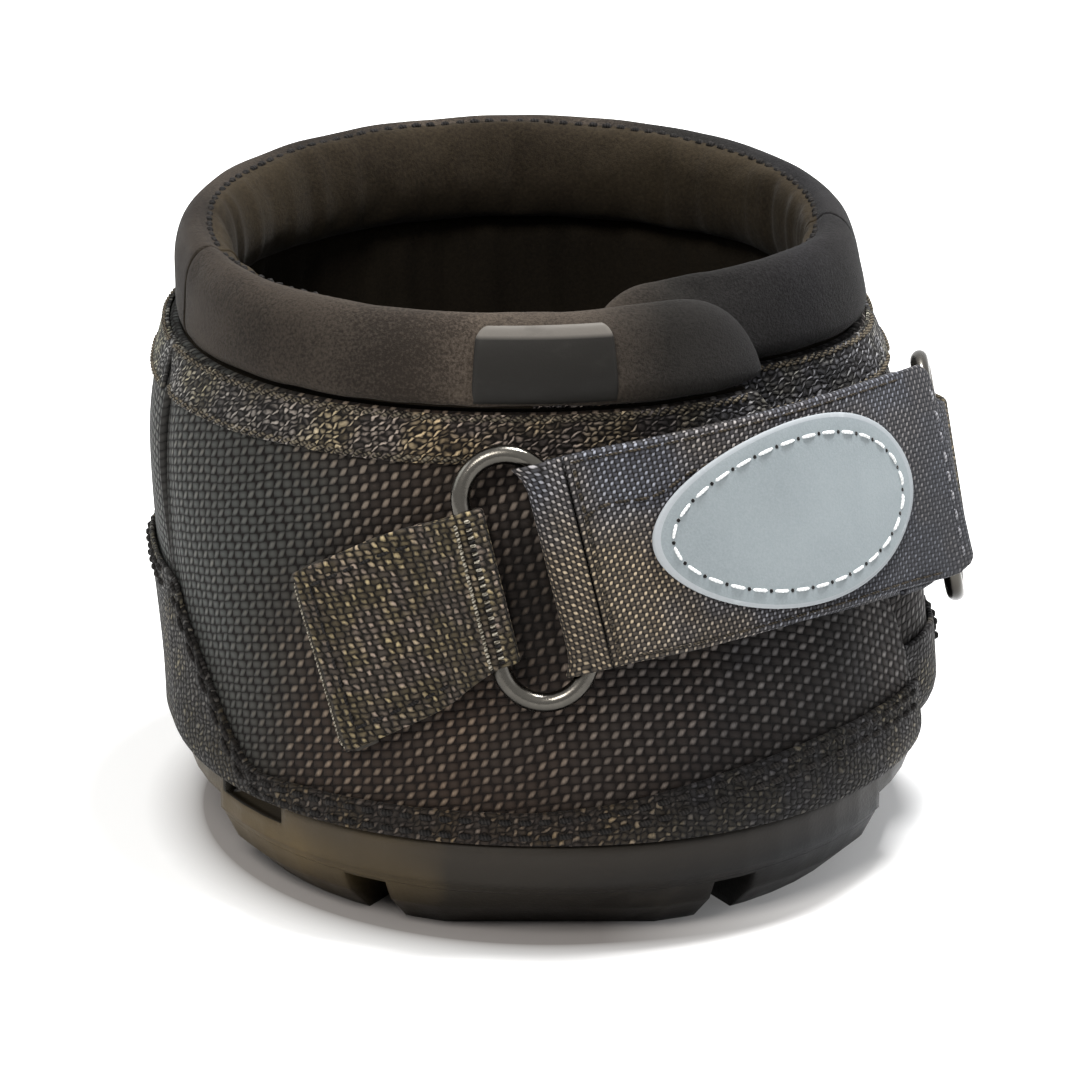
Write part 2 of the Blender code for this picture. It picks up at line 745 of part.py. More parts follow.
def make_collars(material):
    seam = seam_angle(WALL_TOP)
    outer_hinge, inner_hinge = math.radians(OUTER_HINGE_ANGLE), math.radians(INNER_HINGE_ANGLE)
    outer_end, inner_end = math.radians(OUTER_COLLAR_END_ANGLE), math.radians(INNER_COLLAR_END_ANGLE)
    tip_angle = math.radians(COLLAR_TIP_ANGLE)
    under_middle = COLLAR_HALF_THICKNESS * 2.0 + PIECE_GAP + INNER_COLLAR_HALF_THICKNESS

    def middle_depth(angle):
        return COLLAR_HALF_THICKNESS

    def under_depth(angle):
        return blend(COLLAR_HALF_THICKNESS, under_middle, under_share(angle, WALL_TOP))

    def under_thickness(angle):
        return blend(COLLAR_HALF_THICKNESS, INNER_COLLAR_HALF_THICKNESS, under_share(angle, WALL_TOP))

    rear = collar_roll("rear_collar", inner_hinge + seam, math.radians(360.0) + outer_hinge - seam,
                       middle_depth, middle_depth, "", tip_angle, material)
    outer = collar_roll("outer_collar", outer_hinge + seam, outer_end, middle_depth, middle_depth,
                        "end", tip_angle, material)
    inner = collar_roll("inner_collar", inner_end, inner_hinge - seam, under_depth, under_thickness,
                        "start", tip_angle, material)
    return [rear, outer, inner]


def make_name_tab(material):
    """A bare rubber tab with rounded top corners, sewn to the front of the collar."""
    middle = math.radians(NAME_TAB_ANGLE)
    low_turn, high_turn = math.radians(NAME_TAB_LOW_TURN), math.radians(NAME_TAB_HIGH_TURN)
    height = (high_turn - low_turn) * collar_half_height(middle)
    reach = (wall_skin(middle, WALL_TOP) - wall_section(WALL_TOP)[0]).length
    sides = []
    for proud in (PIECE_GAP, PIECE_GAP + NAME_TAB_THICKNESS):
        grid = []
        for column in range(NAME_TAB_COLUMNS + 1):
            line = []
            for row in range(NAME_TAB_ROWS + 1):
                rise = row / NAME_TAB_ROWS
                half = blend(NAME_TAB_LOW_HALF_WIDTH, NAME_TAB_TOP_HALF_WIDTH, rise)
                past = max((rise * height - (height - NAME_TAB_CORNER)) / NAME_TAB_CORNER, 0.0)
                half -= NAME_TAB_CORNER * (1.0 - math.sqrt(max(1.0 - past * past, 0.0)))
                angle = middle + half * blend(-1.0, 1.0, column / NAME_TAB_COLUMNS) / reach
                line.append(collar_profile(angle, COLLAR_HALF_THICKNESS, COLLAR_HALF_THICKNESS, 1.0,
                                           blend(low_turn, high_turn, rise), proud))
            grid.append(line)
        sides.append(grid)
    return sheet_between("name_tab", sides[0], sides[1], material)


# Places along the strap: a path over the wall that tilts up from the left ring and down to the right one


AROUND_ANGLES = np.radians(np.linspace(*PATH_ANGLES, PATH_POINTS))
AROUND_POINTS = np.array([wall_skin(float(angle), RING_HEIGHT) for angle in AROUND_ANGLES])
AROUND_STEPS = np.linalg.norm(np.diff(AROUND_POINTS, axis=0), axis=1)
AROUND_LENGTHS = np.concatenate([[0.0], np.cumsum(AROUND_STEPS)])


def around_at(degrees):
    """Level length round the wall at the rings' height."""
    return float(np.interp(math.radians(degrees), AROUND_ANGLES, AROUND_LENGTHS))


LEFT_TILT = math.radians(LEFT_RING_TILT)
RIGHT_TILT = math.radians(RIGHT_RING_TILT)
LEFT_RING_PLACE = around_at(LEFT_RING_ANGLE)
LEVEL_SPAN = around_at(RIGHT_RING_ANGLE) - LEFT_RING_PLACE
PATH_STRETCH = (LEFT_TILT + RIGHT_TILT) / (math.sin(LEFT_TILT) + math.sin(RIGHT_TILT))
RIGHT_RING_PLACE = LEFT_RING_PLACE + LEVEL_SPAN * PATH_STRETCH
PATH_LENGTHS = np.linspace(AROUND_LENGTHS[0], AROUND_LENGTHS[-1], PATH_POINTS)
PATH_TILTS = np.interp(PATH_LENGTHS, (LEFT_RING_PLACE, RIGHT_RING_PLACE),
                       (LEFT_TILT, -RIGHT_TILT))
PATH_STEP = PATH_LENGTHS[1] - PATH_LENGTHS[0]
PATH_AROUND = np.cumsum(np.cos(PATH_TILTS)) * PATH_STEP
PATH_AROUND = PATH_AROUND + LEFT_RING_PLACE - np.interp(LEFT_RING_PLACE, PATH_LENGTHS, PATH_AROUND)
PATH_RISES = np.cumsum(np.sin(PATH_TILTS)) * PATH_STEP
PATH_RISES = PATH_RISES - np.interp(LEFT_RING_PLACE, PATH_LENGTHS, PATH_RISES)


def path_at(length):
    """Level length round the wall, rise above the rings' height and tilt at a length along the path."""
    return [float(np.interp(length, PATH_LENGTHS, values))
            for values in (PATH_AROUND, PATH_RISES, PATH_TILTS)]


def length_at(degrees):
    """Length along the path where it passes an angle."""
    return float(np.interp(around_at(degrees), PATH_AROUND, PATH_LENGTHS))


def angle_at(around):
    return float(np.interp(around, AROUND_LENGTHS, AROUND_ANGLES))


RING_STANDOFF = PIECE_GAP + BAND_THICKNESS + PIECE_GAP + STRAP_THICKNESS + FOLD_GAP + WIRE_RADIUS
LEFT_FOLD = LEFT_RING_PLACE + RING_HALF_WIDTH
RIGHT_FOLD = RIGHT_RING_PLACE - RING_HALF_WIDTH
STRAP_FOLD_RADIUS = WIRE_RADIUS + FOLD_GAP + STRAP_THICKNESS / 2.0
TAB_FOLD_RADIUS = WIRE_RADIUS + FOLD_GAP + TAB_THICKNESS / 2.0


def ring_axes(place):
    """Centre of a ring that lies on the wall, and its directions: along the strap, up its legs, out."""
    around, rise, tilt = path_at(place)
    angle = angle_at(around)
    ahead, above, out = wall_axes(angle, RING_HEIGHT)
    centre = wall_point(angle, RING_HEIGHT + rise * above.z, RING_STANDOFF)
    along = ahead * math.cos(tilt) + above * math.sin(tilt)
    return centre, along, out.cross(along), out


RING_SEATS = [(place, ring_axes(place)) for place in (LEFT_RING_PLACE, RIGHT_RING_PLACE)]


def webbing_point(length, across, lift):
    """A point of the webbing: along it, across it from its path, and off the rings' plane.

    Close to a ring it lies in the ring's own plane, and away from it the webbing follows the wall.
    """
    around, rise, tilt = path_at(length)
    angle = angle_at(around - math.sin(tilt) * across)
    above = wall_axes(angle, RING_HEIGHT)[1]
    height = RING_HEIGHT + (rise + math.cos(tilt) * across) * above.z
    point = wall_point(angle, height, RING_STANDOFF + lift)
    for place, (centre, along, upright, out) in RING_SEATS:
        share = 1.0 - smooth((abs(length - place) - RING_FLAT) / RING_BLEND)
        flat = centre + along * (length - place) + upright * across + out * lift
        point = point.lerp(flat, share)
    return point


def webbing_sheet(name, stations, thickness, material):
    """Webbing along stations, each a function of the share across it.

    A station gives the length, the distance across, the lift of the middle of the webbing there, and
    the unit direction, along and out, that points to its inner side.
    """
    sides = []
    for sign in (1.0, -1.0):
        grid = []
        for station in stations:
            line = []
            for share in station["shares"]:
                length, across, lift, turn_along, turn_out = station["at"](share)
                length += sign * turn_along * thickness / 2.0
                lift += sign * turn_out * thickness / 2.0
                line.append(webbing_point(length, across, lift))
            grid.append(line)
        sides.append(grid)
    return sheet_between(name, sides[0], sides[1], material)


def across_shares(spans):
    return [blend(-1.0, 1.0, index / spans) for index in range(spans + 1)]


def ring_end_pull(across):
    """How far a ring's rounded end draws its wire in from the leg, at a distance from its middle."""
    past = max(abs(across) - (RING_HALF_HEIGHT - RING_HALF_WIDTH), 0.0)
    inside = RING_HALF_WIDTH - WIRE_RADIUS
    return inside - math.sqrt(max(inside ** 2 - past ** 2, 0.0))


def fold_station(leg, across_at, radius, sign, turn, shares):
    """Webbing that goes round a ring's leg, with its bend on the sign side of the leg."""
    def at(share):
        across = across_at(share)
        pull = ring_end_pull(across)
        along, out = sign * math.cos(turn), math.sin(turn)
        centre = leg + sign * pull * FOLD_SHIFT_SHARE
        reach = radius + pull * (1.0 - FOLD_SHIFT_SHARE)
        return centre + along * reach, across, out * radius, -along, -out
    return {"at": at, "shares": shares}


def run_station(length, across_at, lift, inward, shares, skew=0.0):
    def at(share):
        return length - skew * share, across_at(share), lift, 0.0, inward
    return {"at": at, "shares": shares}


def make_tab(name, leg, sign, span, slope, material):
    """Webbing sewn to the upper, folded round a ring's leg. sign points from the tab to the ring."""
    shares = across_shares(TAB_SPANS)
    sewn_low = -(RING_STANDOFF - PIECE_GAP - TAB_THICKNESS / 2.0)
    sewn_high = sewn_low + TAB_THICKNESS + PIECE_GAP

    def middle(distance):
        return -slope * distance

    def width(distance):
        return blend(TAB_FOLD_HALF_WIDTH, TAB_HALF_WIDTH, smooth(distance / TAB_FALL))

    distances = [span * share for share in TAB_STATION_SHARES]
    low_run, high_run = [], []
    for distance in distances:
        fall = smooth(distance / TAB_FALL)

        def across_at(share, distance=distance):
            return middle(distance) + share * width(distance)

        low_lift = blend(-TAB_FOLD_RADIUS, sewn_low, fall)
        high_lift = blend(TAB_FOLD_RADIUS, sewn_high, fall)
        low_run.append(run_station(leg - sign * distance, across_at, low_lift, 1.0, shares))
        high_run.append(run_station(leg - sign * distance, across_at, high_lift, -1.0, shares))
    fold = []
    for step in range(1, FOLD_STEPS):
        turn = blend(-math.pi / 2.0, math.pi / 2.0, step / FOLD_STEPS)
        fold.append(fold_station(leg, lambda share: share * TAB_FOLD_HALF_WIDTH, TAB_FOLD_RADIUS, sign,
                                 turn, shares))
    stations = list(reversed(low_run)) + fold + high_run
    return webbing_sheet(name, stations, TAB_THICKNESS, material)


def strap_lengths(start, end):
    """Lengths along the strap on one common grid, so that its layers have the same facets."""
    first, last = math.ceil(start / STRAP_STEP + GRID_SHARE), math.floor(end / STRAP_STEP - GRID_SHARE)
    return [start] + [index * STRAP_STEP for index in range(first, last + 1)] + [end]


def strap_across(share):
    return STRAP_LIFT + share * STRAP_HALF_WIDTH


def make_strap_base(material):
    """The strap's under layer, with its fold in each ring and the end that is sewn back."""
    shares = STRAP_FOLD_SHARES
    radius = STRAP_FOLD_RADIUS

    def run(length, lift, inward):
        return run_station(length, strap_across, lift, inward, shares)

    def fold(leg, sign, turn):
        return fold_station(leg, strap_across, radius, sign, turn, shares)

    stations = [run(LEFT_FOLD + STRAP_HINGE_REACH - PIECE_GAP, radius, -1.0), run(LEFT_FOLD, radius, -1.0)]
    for step in range(1, FOLD_STEPS):
        stations.append(fold(LEFT_FOLD, -1.0, blend(math.pi / 2.0, -math.pi / 2.0, step / FOLD_STEPS)))
    for length in strap_lengths(LEFT_FOLD, RIGHT_FOLD):
        stations.append(run(length, -radius, 1.0))
    for step in range(1, FOLD_STEPS):
        stations.append(fold(RIGHT_FOLD, 1.0, blend(-math.pi / 2.0, math.pi / 2.0, step / FOLD_STEPS)))
    sewn = -radius + STRAP_THICKNESS + PIECE_GAP
    for share in RETURN_SHARES:
        distance = RETURN_LENGTH * share
        lift = blend(radius, sewn, smooth(distance / RETURN_FALL))
        stations.append(run(RIGHT_FOLD - distance, lift, -1.0))
    return webbing_sheet("strap_base", stations, STRAP_THICKNESS, material)


STRAP_TAIL_START = LEFT_FOLD + STRAP_HINGE_REACH
STRAP_TAIL_END = length_at(STRAP_END_ANGLE)


def tail_lift(length):
    """Lift of the top layer's middle: level, then rising over the fold in the right ring."""
    past = smooth((length - (STRAP_TAIL_END - STRAP_END_RISE_LENGTH)) / STRAP_END_RISE_LENGTH)
    return STRAP_FOLD_RADIUS + STRAP_END_RISE * past


def tail_middle(length):
    share = (length - STRAP_TAIL_START) / (STRAP_TAIL_END - STRAP_TAIL_START)
    return STRAP_LIFT + STRAP_END_LIFT * smooth(share)


def make_strap_tail(material):
    """The strap's top layer, which peels open, with rounded corners at its free end."""
    shares = across_shares(STRAP_SPANS)
    lengths = strap_lengths(STRAP_TAIL_START, STRAP_TAIL_END - STRAP_CORNER_ROUND)
    lengths += [STRAP_TAIL_END - STRAP_CORNER_ROUND * share for share in CORNER_SHARES]
    stations = []
    for length in lengths:
        past = max(length - (STRAP_TAIL_END - STRAP_CORNER_ROUND), 0.0) / STRAP_CORNER_ROUND
        share = smooth((length - STRAP_TAIL_START) / (STRAP_TAIL_END - STRAP_TAIL_START))
        half = blend(STRAP_HALF_WIDTH, STRAP_END_HALF_WIDTH, share)
        half -= STRAP_CORNER_ROUND * (1.0 - math.sqrt(max(1.0 - past * past, 0.0)))

        def across_at(share, length=length, half=half):
            return tail_middle(length) + share * half

        skew = STRAP_END_SKEW * smooth(1.0 - (STRAP_TAIL_END - length) / STRAP_END_RISE_LENGTH)
        stations.append(run_station(length, across_at, tail_lift(length), -1.0, shares, skew))
    return webbing_sheet("strap_tail", stations, STRAP_THICKNESS, material)


def make_strap_patches(loop_material, hook_material):
    """Loop patch on the under layer and the hook patch below the top layer that it grips."""
    shares = across_shares(STRAP_SPANS)
    start = STRAP_TAIL_START + PATCH_END_GAP
    end = RIGHT_FOLD - RETURN_LENGTH - PATCH_END_GAP
    half = STRAP_HALF_WIDTH - PATCH_MARGIN
    pieces = []
    face = STRAP_FOLD_RADIUS - STRAP_THICKNESS / 2.0 - PIECE_GAP
    loop_lift = -face + LOOP_PATCH_THICKNESS / 2.0
    hook_lift = face - HOOK_PATCH_THICKNESS / 2.0
    for name, lift, thickness, material in (
            ("strap_loop_patch", loop_lift, LOOP_PATCH_THICKNESS, loop_material),
            ("strap_hook_patch", hook_lift, HOOK_PATCH_THICKNESS, hook_material)):
        stations = []
        for length in strap_lengths(start, end):

            def across_at(share):
                return STRAP_LIFT + share * half

            stations.append(run_station(length, across_at, lift, 1.0, shares))
        pieces.append(webbing_sheet(name, stations, thickness, material))
    return pieces


def make_label_patch(material):
    """A bare oval patch sewn to the strap's top layer."""
    shares = across_shares(STRAP_SPANS)
    centre = length_at(LABEL_ANGLE)
    lift = STRAP_THICKNESS / 2.0 + PIECE_GAP + LABEL_THICKNESS / 2.0
    lengths = strap_lengths(centre - LABEL_HALF_LENGTH, centre + LABEL_HALF_LENGTH)
    near_tips = [centre + sign * LABEL_HALF_LENGTH * share
                 for sign in (-1.0, 1.0) for share in LABEL_TIP_SHARES]
    lengths = sorted(lengths + near_tips)
    stations = []
    for length in lengths:
        share_along = (length - centre) / LABEL_HALF_LENGTH
        half = LABEL_HALF_WIDTH * max(math.sqrt(max(1.0 - share_along ** 2, 0.0)), LABEL_END_SHARE)

        def across_at(share, length=length, half=half):
            return tail_middle(length) + share * half

        stations.append(run_station(length, across_at, tail_lift(length) + lift, -1.0, shares))
    return webbing_sheet("label_patch", stations, LABEL_THICKNESS, material)


def make_ring(name, place, material):
    """A wire ring with straight legs and rounded ends, flat on the webbing."""
    centre, ahead, above, out = ring_axes(place)
    straight = RING_HALF_HEIGHT - RING_HALF_WIDTH
    outline = []
    for sign in (1.0, -1.0):
        for step in range(RING_END_POINTS + 1):
            turn = math.pi * step / RING_END_POINTS
            outline.append((sign * RING_HALF_WIDTH * math.cos(turn),
                            sign * (straight + RING_HALF_WIDTH * math.sin(turn))))
    curve = bpy.data.curves.new(name, "CURVE")
    curve.dimensions = "3D"
    curve.bevel_depth = WIRE_RADIUS
    curve.bevel_resolution = WIRE_RESOLUTION
    spline = curve.splines.new("POLY")
    spline.points.add(len(outline) - 1)
    for point, (along, up) in zip(spline.points, outline):
        point.co = (along, up, 0.0, 1.0)
    spline.use_cyclic_u = True
    curve.materials.append(material)
    ring = bpy.data.objects.new(name, curve)
    bpy.context.scene.collection.objects.link(ring)
    frame = Matrix((ahead, above, out)).transposed().to_4x4()
    frame.translation = centre
    ring.matrix_world = frame
    return ring


# Joint axes


def flap_hinge(degrees):
    """Foot and direction of a flap's hinge line, which stands off the seam's widest place."""
    angle = math.radians(degrees)
    foot = wall_point(angle, FOOT_TOP, HINGE_STANDOFF)
    head = wall_point(angle, WALL_TOP, HINGE_STANDOFF)
    return foot, (head - foot).normalized()


def ring_hinge(place, along, lift):
    """Middle and direction of a line parallel to a ring's legs."""
    centre, ahead, above, out = ring_axes(place)
    return centre + ahead * along + out * lift, above


def joint_axes():
    """Middle and direction of every joint's axis, by joint name."""
    top_face = STRAP_FOLD_RADIUS + STRAP_THICKNESS / 2.0
    return {
        "outer_flap": flap_hinge(OUTER_HINGE_ANGLE),
        "inner_flap": flap_hinge(INNER_HINGE_ANGLE),
        "left_ring": ring_hinge(LEFT_RING_PLACE, -RING_HALF_WIDTH, 0.0),
        "right_ring": ring_hinge(RIGHT_RING_PLACE, RING_HALF_WIDTH, 0.0),
        "strap_base": ring_hinge(RIGHT_RING_PLACE, -RING_HALF_WIDTH, 0.0),
        "strap_tail": ring_hinge(LEFT_RING_PLACE, RING_HALF_WIDTH + STRAP_HINGE_REACH, top_face),
    }


def attach(pieces, moving_sets):
    """Parents every moving piece to an empty that stands on its joint's axis."""
    axes = joint_axes()
    for joint, names in moving_sets.items():
        middle, direction = axes[joint]
        axis = bpy.data.objects.new(joint + "_axis", None)
        bpy.context.scene.collection.objects.link(axis)
        turned = direction.to_track_quat("Z", "X").to_matrix().to_4x4()
        axis.matrix_world = Matrix.Translation(middle) @ turned
        for name in names:
            pieces[name].parent = axis
            pieces[name].matrix_parent_inverse = axis.matrix_world.inverted()


MOVING_SETS = {
    "outer_flap": ("outer_flap", "outer_flap_lining", "outer_flap_hem", "outer_flap_top_band",
                   "outer_collar", "flap_loop_panel", "left_ring_tab", "name_tab"),
    "inner_flap": ("inner_flap", "inner_flap_lining", "inner_flap_hem", "inner_flap_top_band",
                   "inner_collar", "flap_hook_panel"),
    "left_ring": ("left_ring",),
    "right_ring": ("right_ring",),
    "strap_base": ("strap_base", "strap_loop_patch"),
    "strap_tail": ("strap_tail", "strap_hook_patch", "label_patch"),
}


def main():
    clear_scene()
    rubber = make_material("sole_rubber", (0.035, 0.031, 0.028), 0.55)
    board = make_material("insole_board", (0.10, 0.08, 0.06), 0.9)
    foam = make_material("footbed_foam", (0.03, 0.03, 0.03), 0.85)
    nylon = make_material("ballistic_nylon", (0.045, 0.037, 0.030), 0.75)
    lining = make_material("lining_fabric", (0.060, 0.045, 0.030), 0.9)
    rand = make_material("rand_fabric", (0.035, 0.030, 0.026), 0.7)
    webbing = make_material("webbing", (0.055, 0.045, 0.034), 0.8)
    collar = make_material("collar_fabric", (0.042, 0.036, 0.031), 0.9)
    hook = make_material("hook_tape", (0.02, 0.02, 0.02), 0.8)
    loop = make_material("loop_tape", (0.03, 0.03, 0.03), 0.95)
    strap = make_material("strap_webbing", (0.045, 0.040, 0.035), 0.75)
    steel = make_material("ring_steel", (0.22, 0.21, 0.20), 0.25, 1.0)
    patch = make_material("label_patch", (0.38, 0.41, 0.42), 0.6)
    tab_rubber = make_material("tab_rubber", (0.035, 0.033, 0.031), 0.5)

    pieces = [make_outsole(rubber)]
    pieces += make_inner_sole(board, foam)
    pieces += make_walls(nylon, lining)
    pieces += make_rands(rand)
    pieces += make_top_bands(webbing)
    pieces += make_flap_panels(hook, loop)
    pieces += make_collars(collar)
    pieces.append(make_name_tab(tab_rubber))
    left_leg = LEFT_RING_PLACE - RING_HALF_WIDTH
    right_leg = RIGHT_RING_PLACE + RING_HALF_WIDTH
    pieces.append(make_tab("left_ring_tab", left_leg, 1.0, LEFT_TAB_LENGTH,
                           LEFT_TAB_SLOPE_SHARE, webbing))
    pieces.append(make_tab("right_ring_tab", right_leg, -1.0, RIGHT_TAB_LENGTH,
                           RIGHT_TAB_SLOPE_SHARE, webbing))
    pieces.append(make_ring("left_ring", LEFT_RING_PLACE, steel))
    pieces.append(make_ring("right_ring", RIGHT_RING_PLACE, steel))
    pieces.append(make_strap_base(strap))
    pieces.append(make_strap_tail(strap))
    pieces += make_strap_patches(loop, hook)
    pieces.append(make_label_patch(patch))
    attach({piece.name: piece for piece in pieces}, MOVING_SETS)


main()
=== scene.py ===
"""Looks of the horse hoof boot: fine fabric, webbing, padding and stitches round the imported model.

The toe points to -Y, the ground is the plane z = 0, and all lengths are in metres.
Angles round the boot are measured from the toe, positive towards +X.
"""

from math import atan2, copysign, cos, degrees, dist, exp, floor, hypot, pi, radians, sin, sqrt

import bmesh
import bpy
import numpy as np
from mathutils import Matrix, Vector, noise


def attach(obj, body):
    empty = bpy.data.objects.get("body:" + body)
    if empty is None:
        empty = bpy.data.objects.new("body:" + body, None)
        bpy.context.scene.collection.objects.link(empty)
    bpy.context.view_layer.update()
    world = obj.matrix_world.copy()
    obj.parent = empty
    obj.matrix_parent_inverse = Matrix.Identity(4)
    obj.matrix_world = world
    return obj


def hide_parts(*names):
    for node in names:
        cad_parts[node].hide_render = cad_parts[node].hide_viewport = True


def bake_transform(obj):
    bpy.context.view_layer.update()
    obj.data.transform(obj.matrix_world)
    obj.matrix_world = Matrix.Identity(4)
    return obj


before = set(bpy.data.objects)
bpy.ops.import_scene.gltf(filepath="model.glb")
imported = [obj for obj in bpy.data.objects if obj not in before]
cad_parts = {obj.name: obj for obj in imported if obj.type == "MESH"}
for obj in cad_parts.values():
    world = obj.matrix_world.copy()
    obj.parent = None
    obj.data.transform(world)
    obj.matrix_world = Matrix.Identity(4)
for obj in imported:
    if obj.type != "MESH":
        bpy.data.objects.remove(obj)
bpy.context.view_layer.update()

# Sizes as in the model: the upper

PIECE_GAP = 0.0003
SEAM_GAP = 0.0006
PROBE_ANGLE = 0.001
PROBE_HEIGHT = 0.0001
RIM_TOP = 0.0215
RING_HEIGHT = 0.0712
WALL_TOP = RING_HEIGHT + 0.0298
WALL_HEIGHT = WALL_TOP - RIM_TOP
TOE_REACH = 0.0745
TOE_LEAN = 0.023
HEEL_REACH = 0.0765
HEEL_LEAN = 0.0135
LOW_HALF_WIDTH = 0.0785
TOP_HALF_WIDTH = 0.0706
PINCH_POWER = 6.0
FOOT_PINCH = 0.0038
FOOT_HEIGHT = 0.0072
COLLAR_SHIFT = 0.0066
WALL_POWER = 2.15
HEEL_POWER = 1.95
FABRIC_THICKNESS = 0.0018
LINING_THICKNESS = 0.002
OUTER_HINGE = radians(-70.0)
INNER_HINGE = radians(88.0)
FULL_TURN = radians(360.0)
REAR_START = INNER_HINGE
REAR_END = FULL_TURN + OUTER_HINGE
FLAP_TIP = radians(3.0)
FLAP_EDGE = radians(70.5)
FLAP_EDGE_SWEEP = radians(31.0)
FLAP_EDGE_POWER = 1.7
DIP_LOW = 0.007
DIP_TOP_GAIN = 0.006
DIP_END_LOW = radians(66.0)
DIP_START_TOP = radians(82.0)
DIP_END_TOP = radians(32.0)

# Tape between the flaps, strips along the foot, and the band along the top

PANEL_THICKNESS = 0.001
PANEL_START = radians(7.0)
PANEL_END = radians(30.0)
PANEL_CLEARANCE = 0.003
PANEL_HIGH = RIM_TOP + 0.803 * WALL_HEIGHT
RAND_THICKNESS = 0.0012
RAND_TALL = 0.02
HEM_HEIGHT = 0.006
HEM_LEFT_RISE = 0.371 * WALL_HEIGHT
HEM_LEFT_START = radians(-45.0)
HEM_RIGHT_RISE = 0.107 * WALL_HEIGHT
HEM_RIGHT_START = radians(-5.0)
HEM_RIGHT_SPAN = radians(55.0)
REAR_RAND_RIGHT_HEIGHT = 0.205 * WALL_HEIGHT
INNER_HEM_HEIGHT = 0.22 * WALL_HEIGHT
REAR_RAND_HEEL_GAIN = 0.004
BAND_THICKNESS = 0.0008
BAND_HEIGHT = 0.0092

# Collar

COLLAR_HALF_HEIGHT = 0.0098
COLLAR_HEEL_GAIN_SHARE = 0.11
COLLAR_SEAT_GAP = 0.0005
COLLAR_HALF_THICKNESS = 0.0060
INNER_COLLAR_HALF_THICKNESS = 0.0046
COLLAR_POWER = 2.3
COLLAR_TIP_WIDTH_SHARE = 0.45
COLLAR_END_SHARE = 0.2

# Rings and the tabs that hold them

WIRE_RADIUS = 0.0019
RING_HALF_WIDTH = 0.0085
RING_HALF_HEIGHT = 0.0241
LEFT_TILT = radians(14.0)
RIGHT_TILT = radians(17.5)
LEFT_RING_ANGLE = radians(-0.2)
RIGHT_RING_ANGLE = radians(86.0)
RING_FLAT = 0.0145
RING_BLEND = 0.012
FOLD_GAP = 0.0003
FOLD_SHIFT_SHARE = 0.6
TAB_THICKNESS = 0.0018
TAB_HALF_WIDTH = 0.0170
TAB_FOLD_HALF_WIDTH = 0.0152
LEFT_TAB_LENGTH = 0.036
LEFT_TAB_SLOPE_SHARE = 0.24
RIGHT_TAB_LENGTH = 0.030
RIGHT_TAB_SLOPE_SHARE = -0.16
TAB_FALL = 0.012

# Strap and its patches

STRAP_THICKNESS = 0.0018
STRAP_HALF_WIDTH = 0.0205
STRAP_LIFT = 0.0003
STRAP_HINGE_REACH = 0.004
STRAP_END_ANGLE = radians(70.0)
STRAP_END_RISE = 0.0032
STRAP_END_RISE_LENGTH = 0.018
STRAP_END_LIFT = 0.0010
STRAP_END_SKEW = 0.0030
STRAP_END_HALF_WIDTH = 0.0193
STRAP_CORNER_ROUND = 0.0035
RETURN_LENGTH = 0.024
RETURN_FALL = 0.012
LOOP_PATCH_THICKNESS = 0.0017
HOOK_PATCH_THICKNESS = 0.0018
PATCH_MARGIN = 0.003
PATCH_END_GAP = 0.003

# Label and rubber tab

LABEL_HALF_LENGTH = 0.0282
LABEL_HALF_WIDTH = 0.0173
LABEL_THICKNESS = 0.001
LABEL_ANGLE = radians(39.4)
NAME_TAB_MIDDLE = radians(4.6)
NAME_TAB_TOP_HALF_WIDTH = 0.0133
NAME_TAB_LOW_HALF_WIDTH = 0.0142
NAME_TAB_THICKNESS = 0.0016
NAME_TAB_LOW_TURN = radians(-52.0)
NAME_TAB_HIGH_TURN = radians(34.0)
NAME_TAB_CORNER = 0.0030
NAME_TAB_SEAT = 0.0001
NAME_TAB_EDGE = 0.35
NAME_TAB_SPANS = (28, 22)

# Rows of the wall in the model, and the sampled path round the boot

WALL_ROWS = 6
PATH_DEGREES = (-70.0, 130.0)
PATH_POINTS = 401

# Fineness of the pieces made here

ROUND_STEP = 0.0020
HEIGHT_STEP = 0.0022
STRAP_STEP = 0.0016
ACROSS_SPANS = 16
FOLD_STEPS = 18
COLLAR_SIDES = 28
COLLAR_STEP = 0.0026
LABEL_SIDES = 96
RING_SIDES = 20
RING_END_STEPS = 24
RING_LEG_STEPS = 8
THREAD_SIDES = 6
HOLE_SIDES = 10

# Distance from a cut edge in thicknesses, and the share of the thickness there

EDGE_SHAPE = ((0.0, 0.25), (0.12, 0.72), (0.35, 0.94), (0.7, 1.0))

# Share of the label's outline and of its thickness for each ring of points

LABEL_RINGS = ((0.001, 1.0), (0.2, 1.0), (0.45, 1.0), (0.7, 1.0), (0.85, 1.0), (0.955, 1.0), (0.985, 0.93),
               (1.0, 0.72), (1.0, 0.2), (0.985, 0.0), (0.7, 0.0), (0.35, 0.0), (0.001, 0.0))
LABEL_EDGE_RINGS = range(5, 9)

# Share along a stitch, with the thread's width and lift there

STITCH_SHAPE = ((0.0, 0.35, -0.9), (0.18, 0.95, 0.25), (0.5, 1.05, 0.55), (0.82, 0.95, 0.25),
                (1.0, 0.35, -0.9))
WHIP_SHAPE = ((-1.0, 0.5, -0.8), (-0.6, 1.0, 0.2), (0.0, 1.1, 0.6), (0.6, 1.0, 0.2), (1.0, 0.5, -0.8))
WHIP_PITCH = 0.0021
WHIP_HALF = 0.0011
WHIP_RISE = 0.0006
WHIP_RADIUS = 0.00034

# Length, gap and thread radius of each kind of stitch

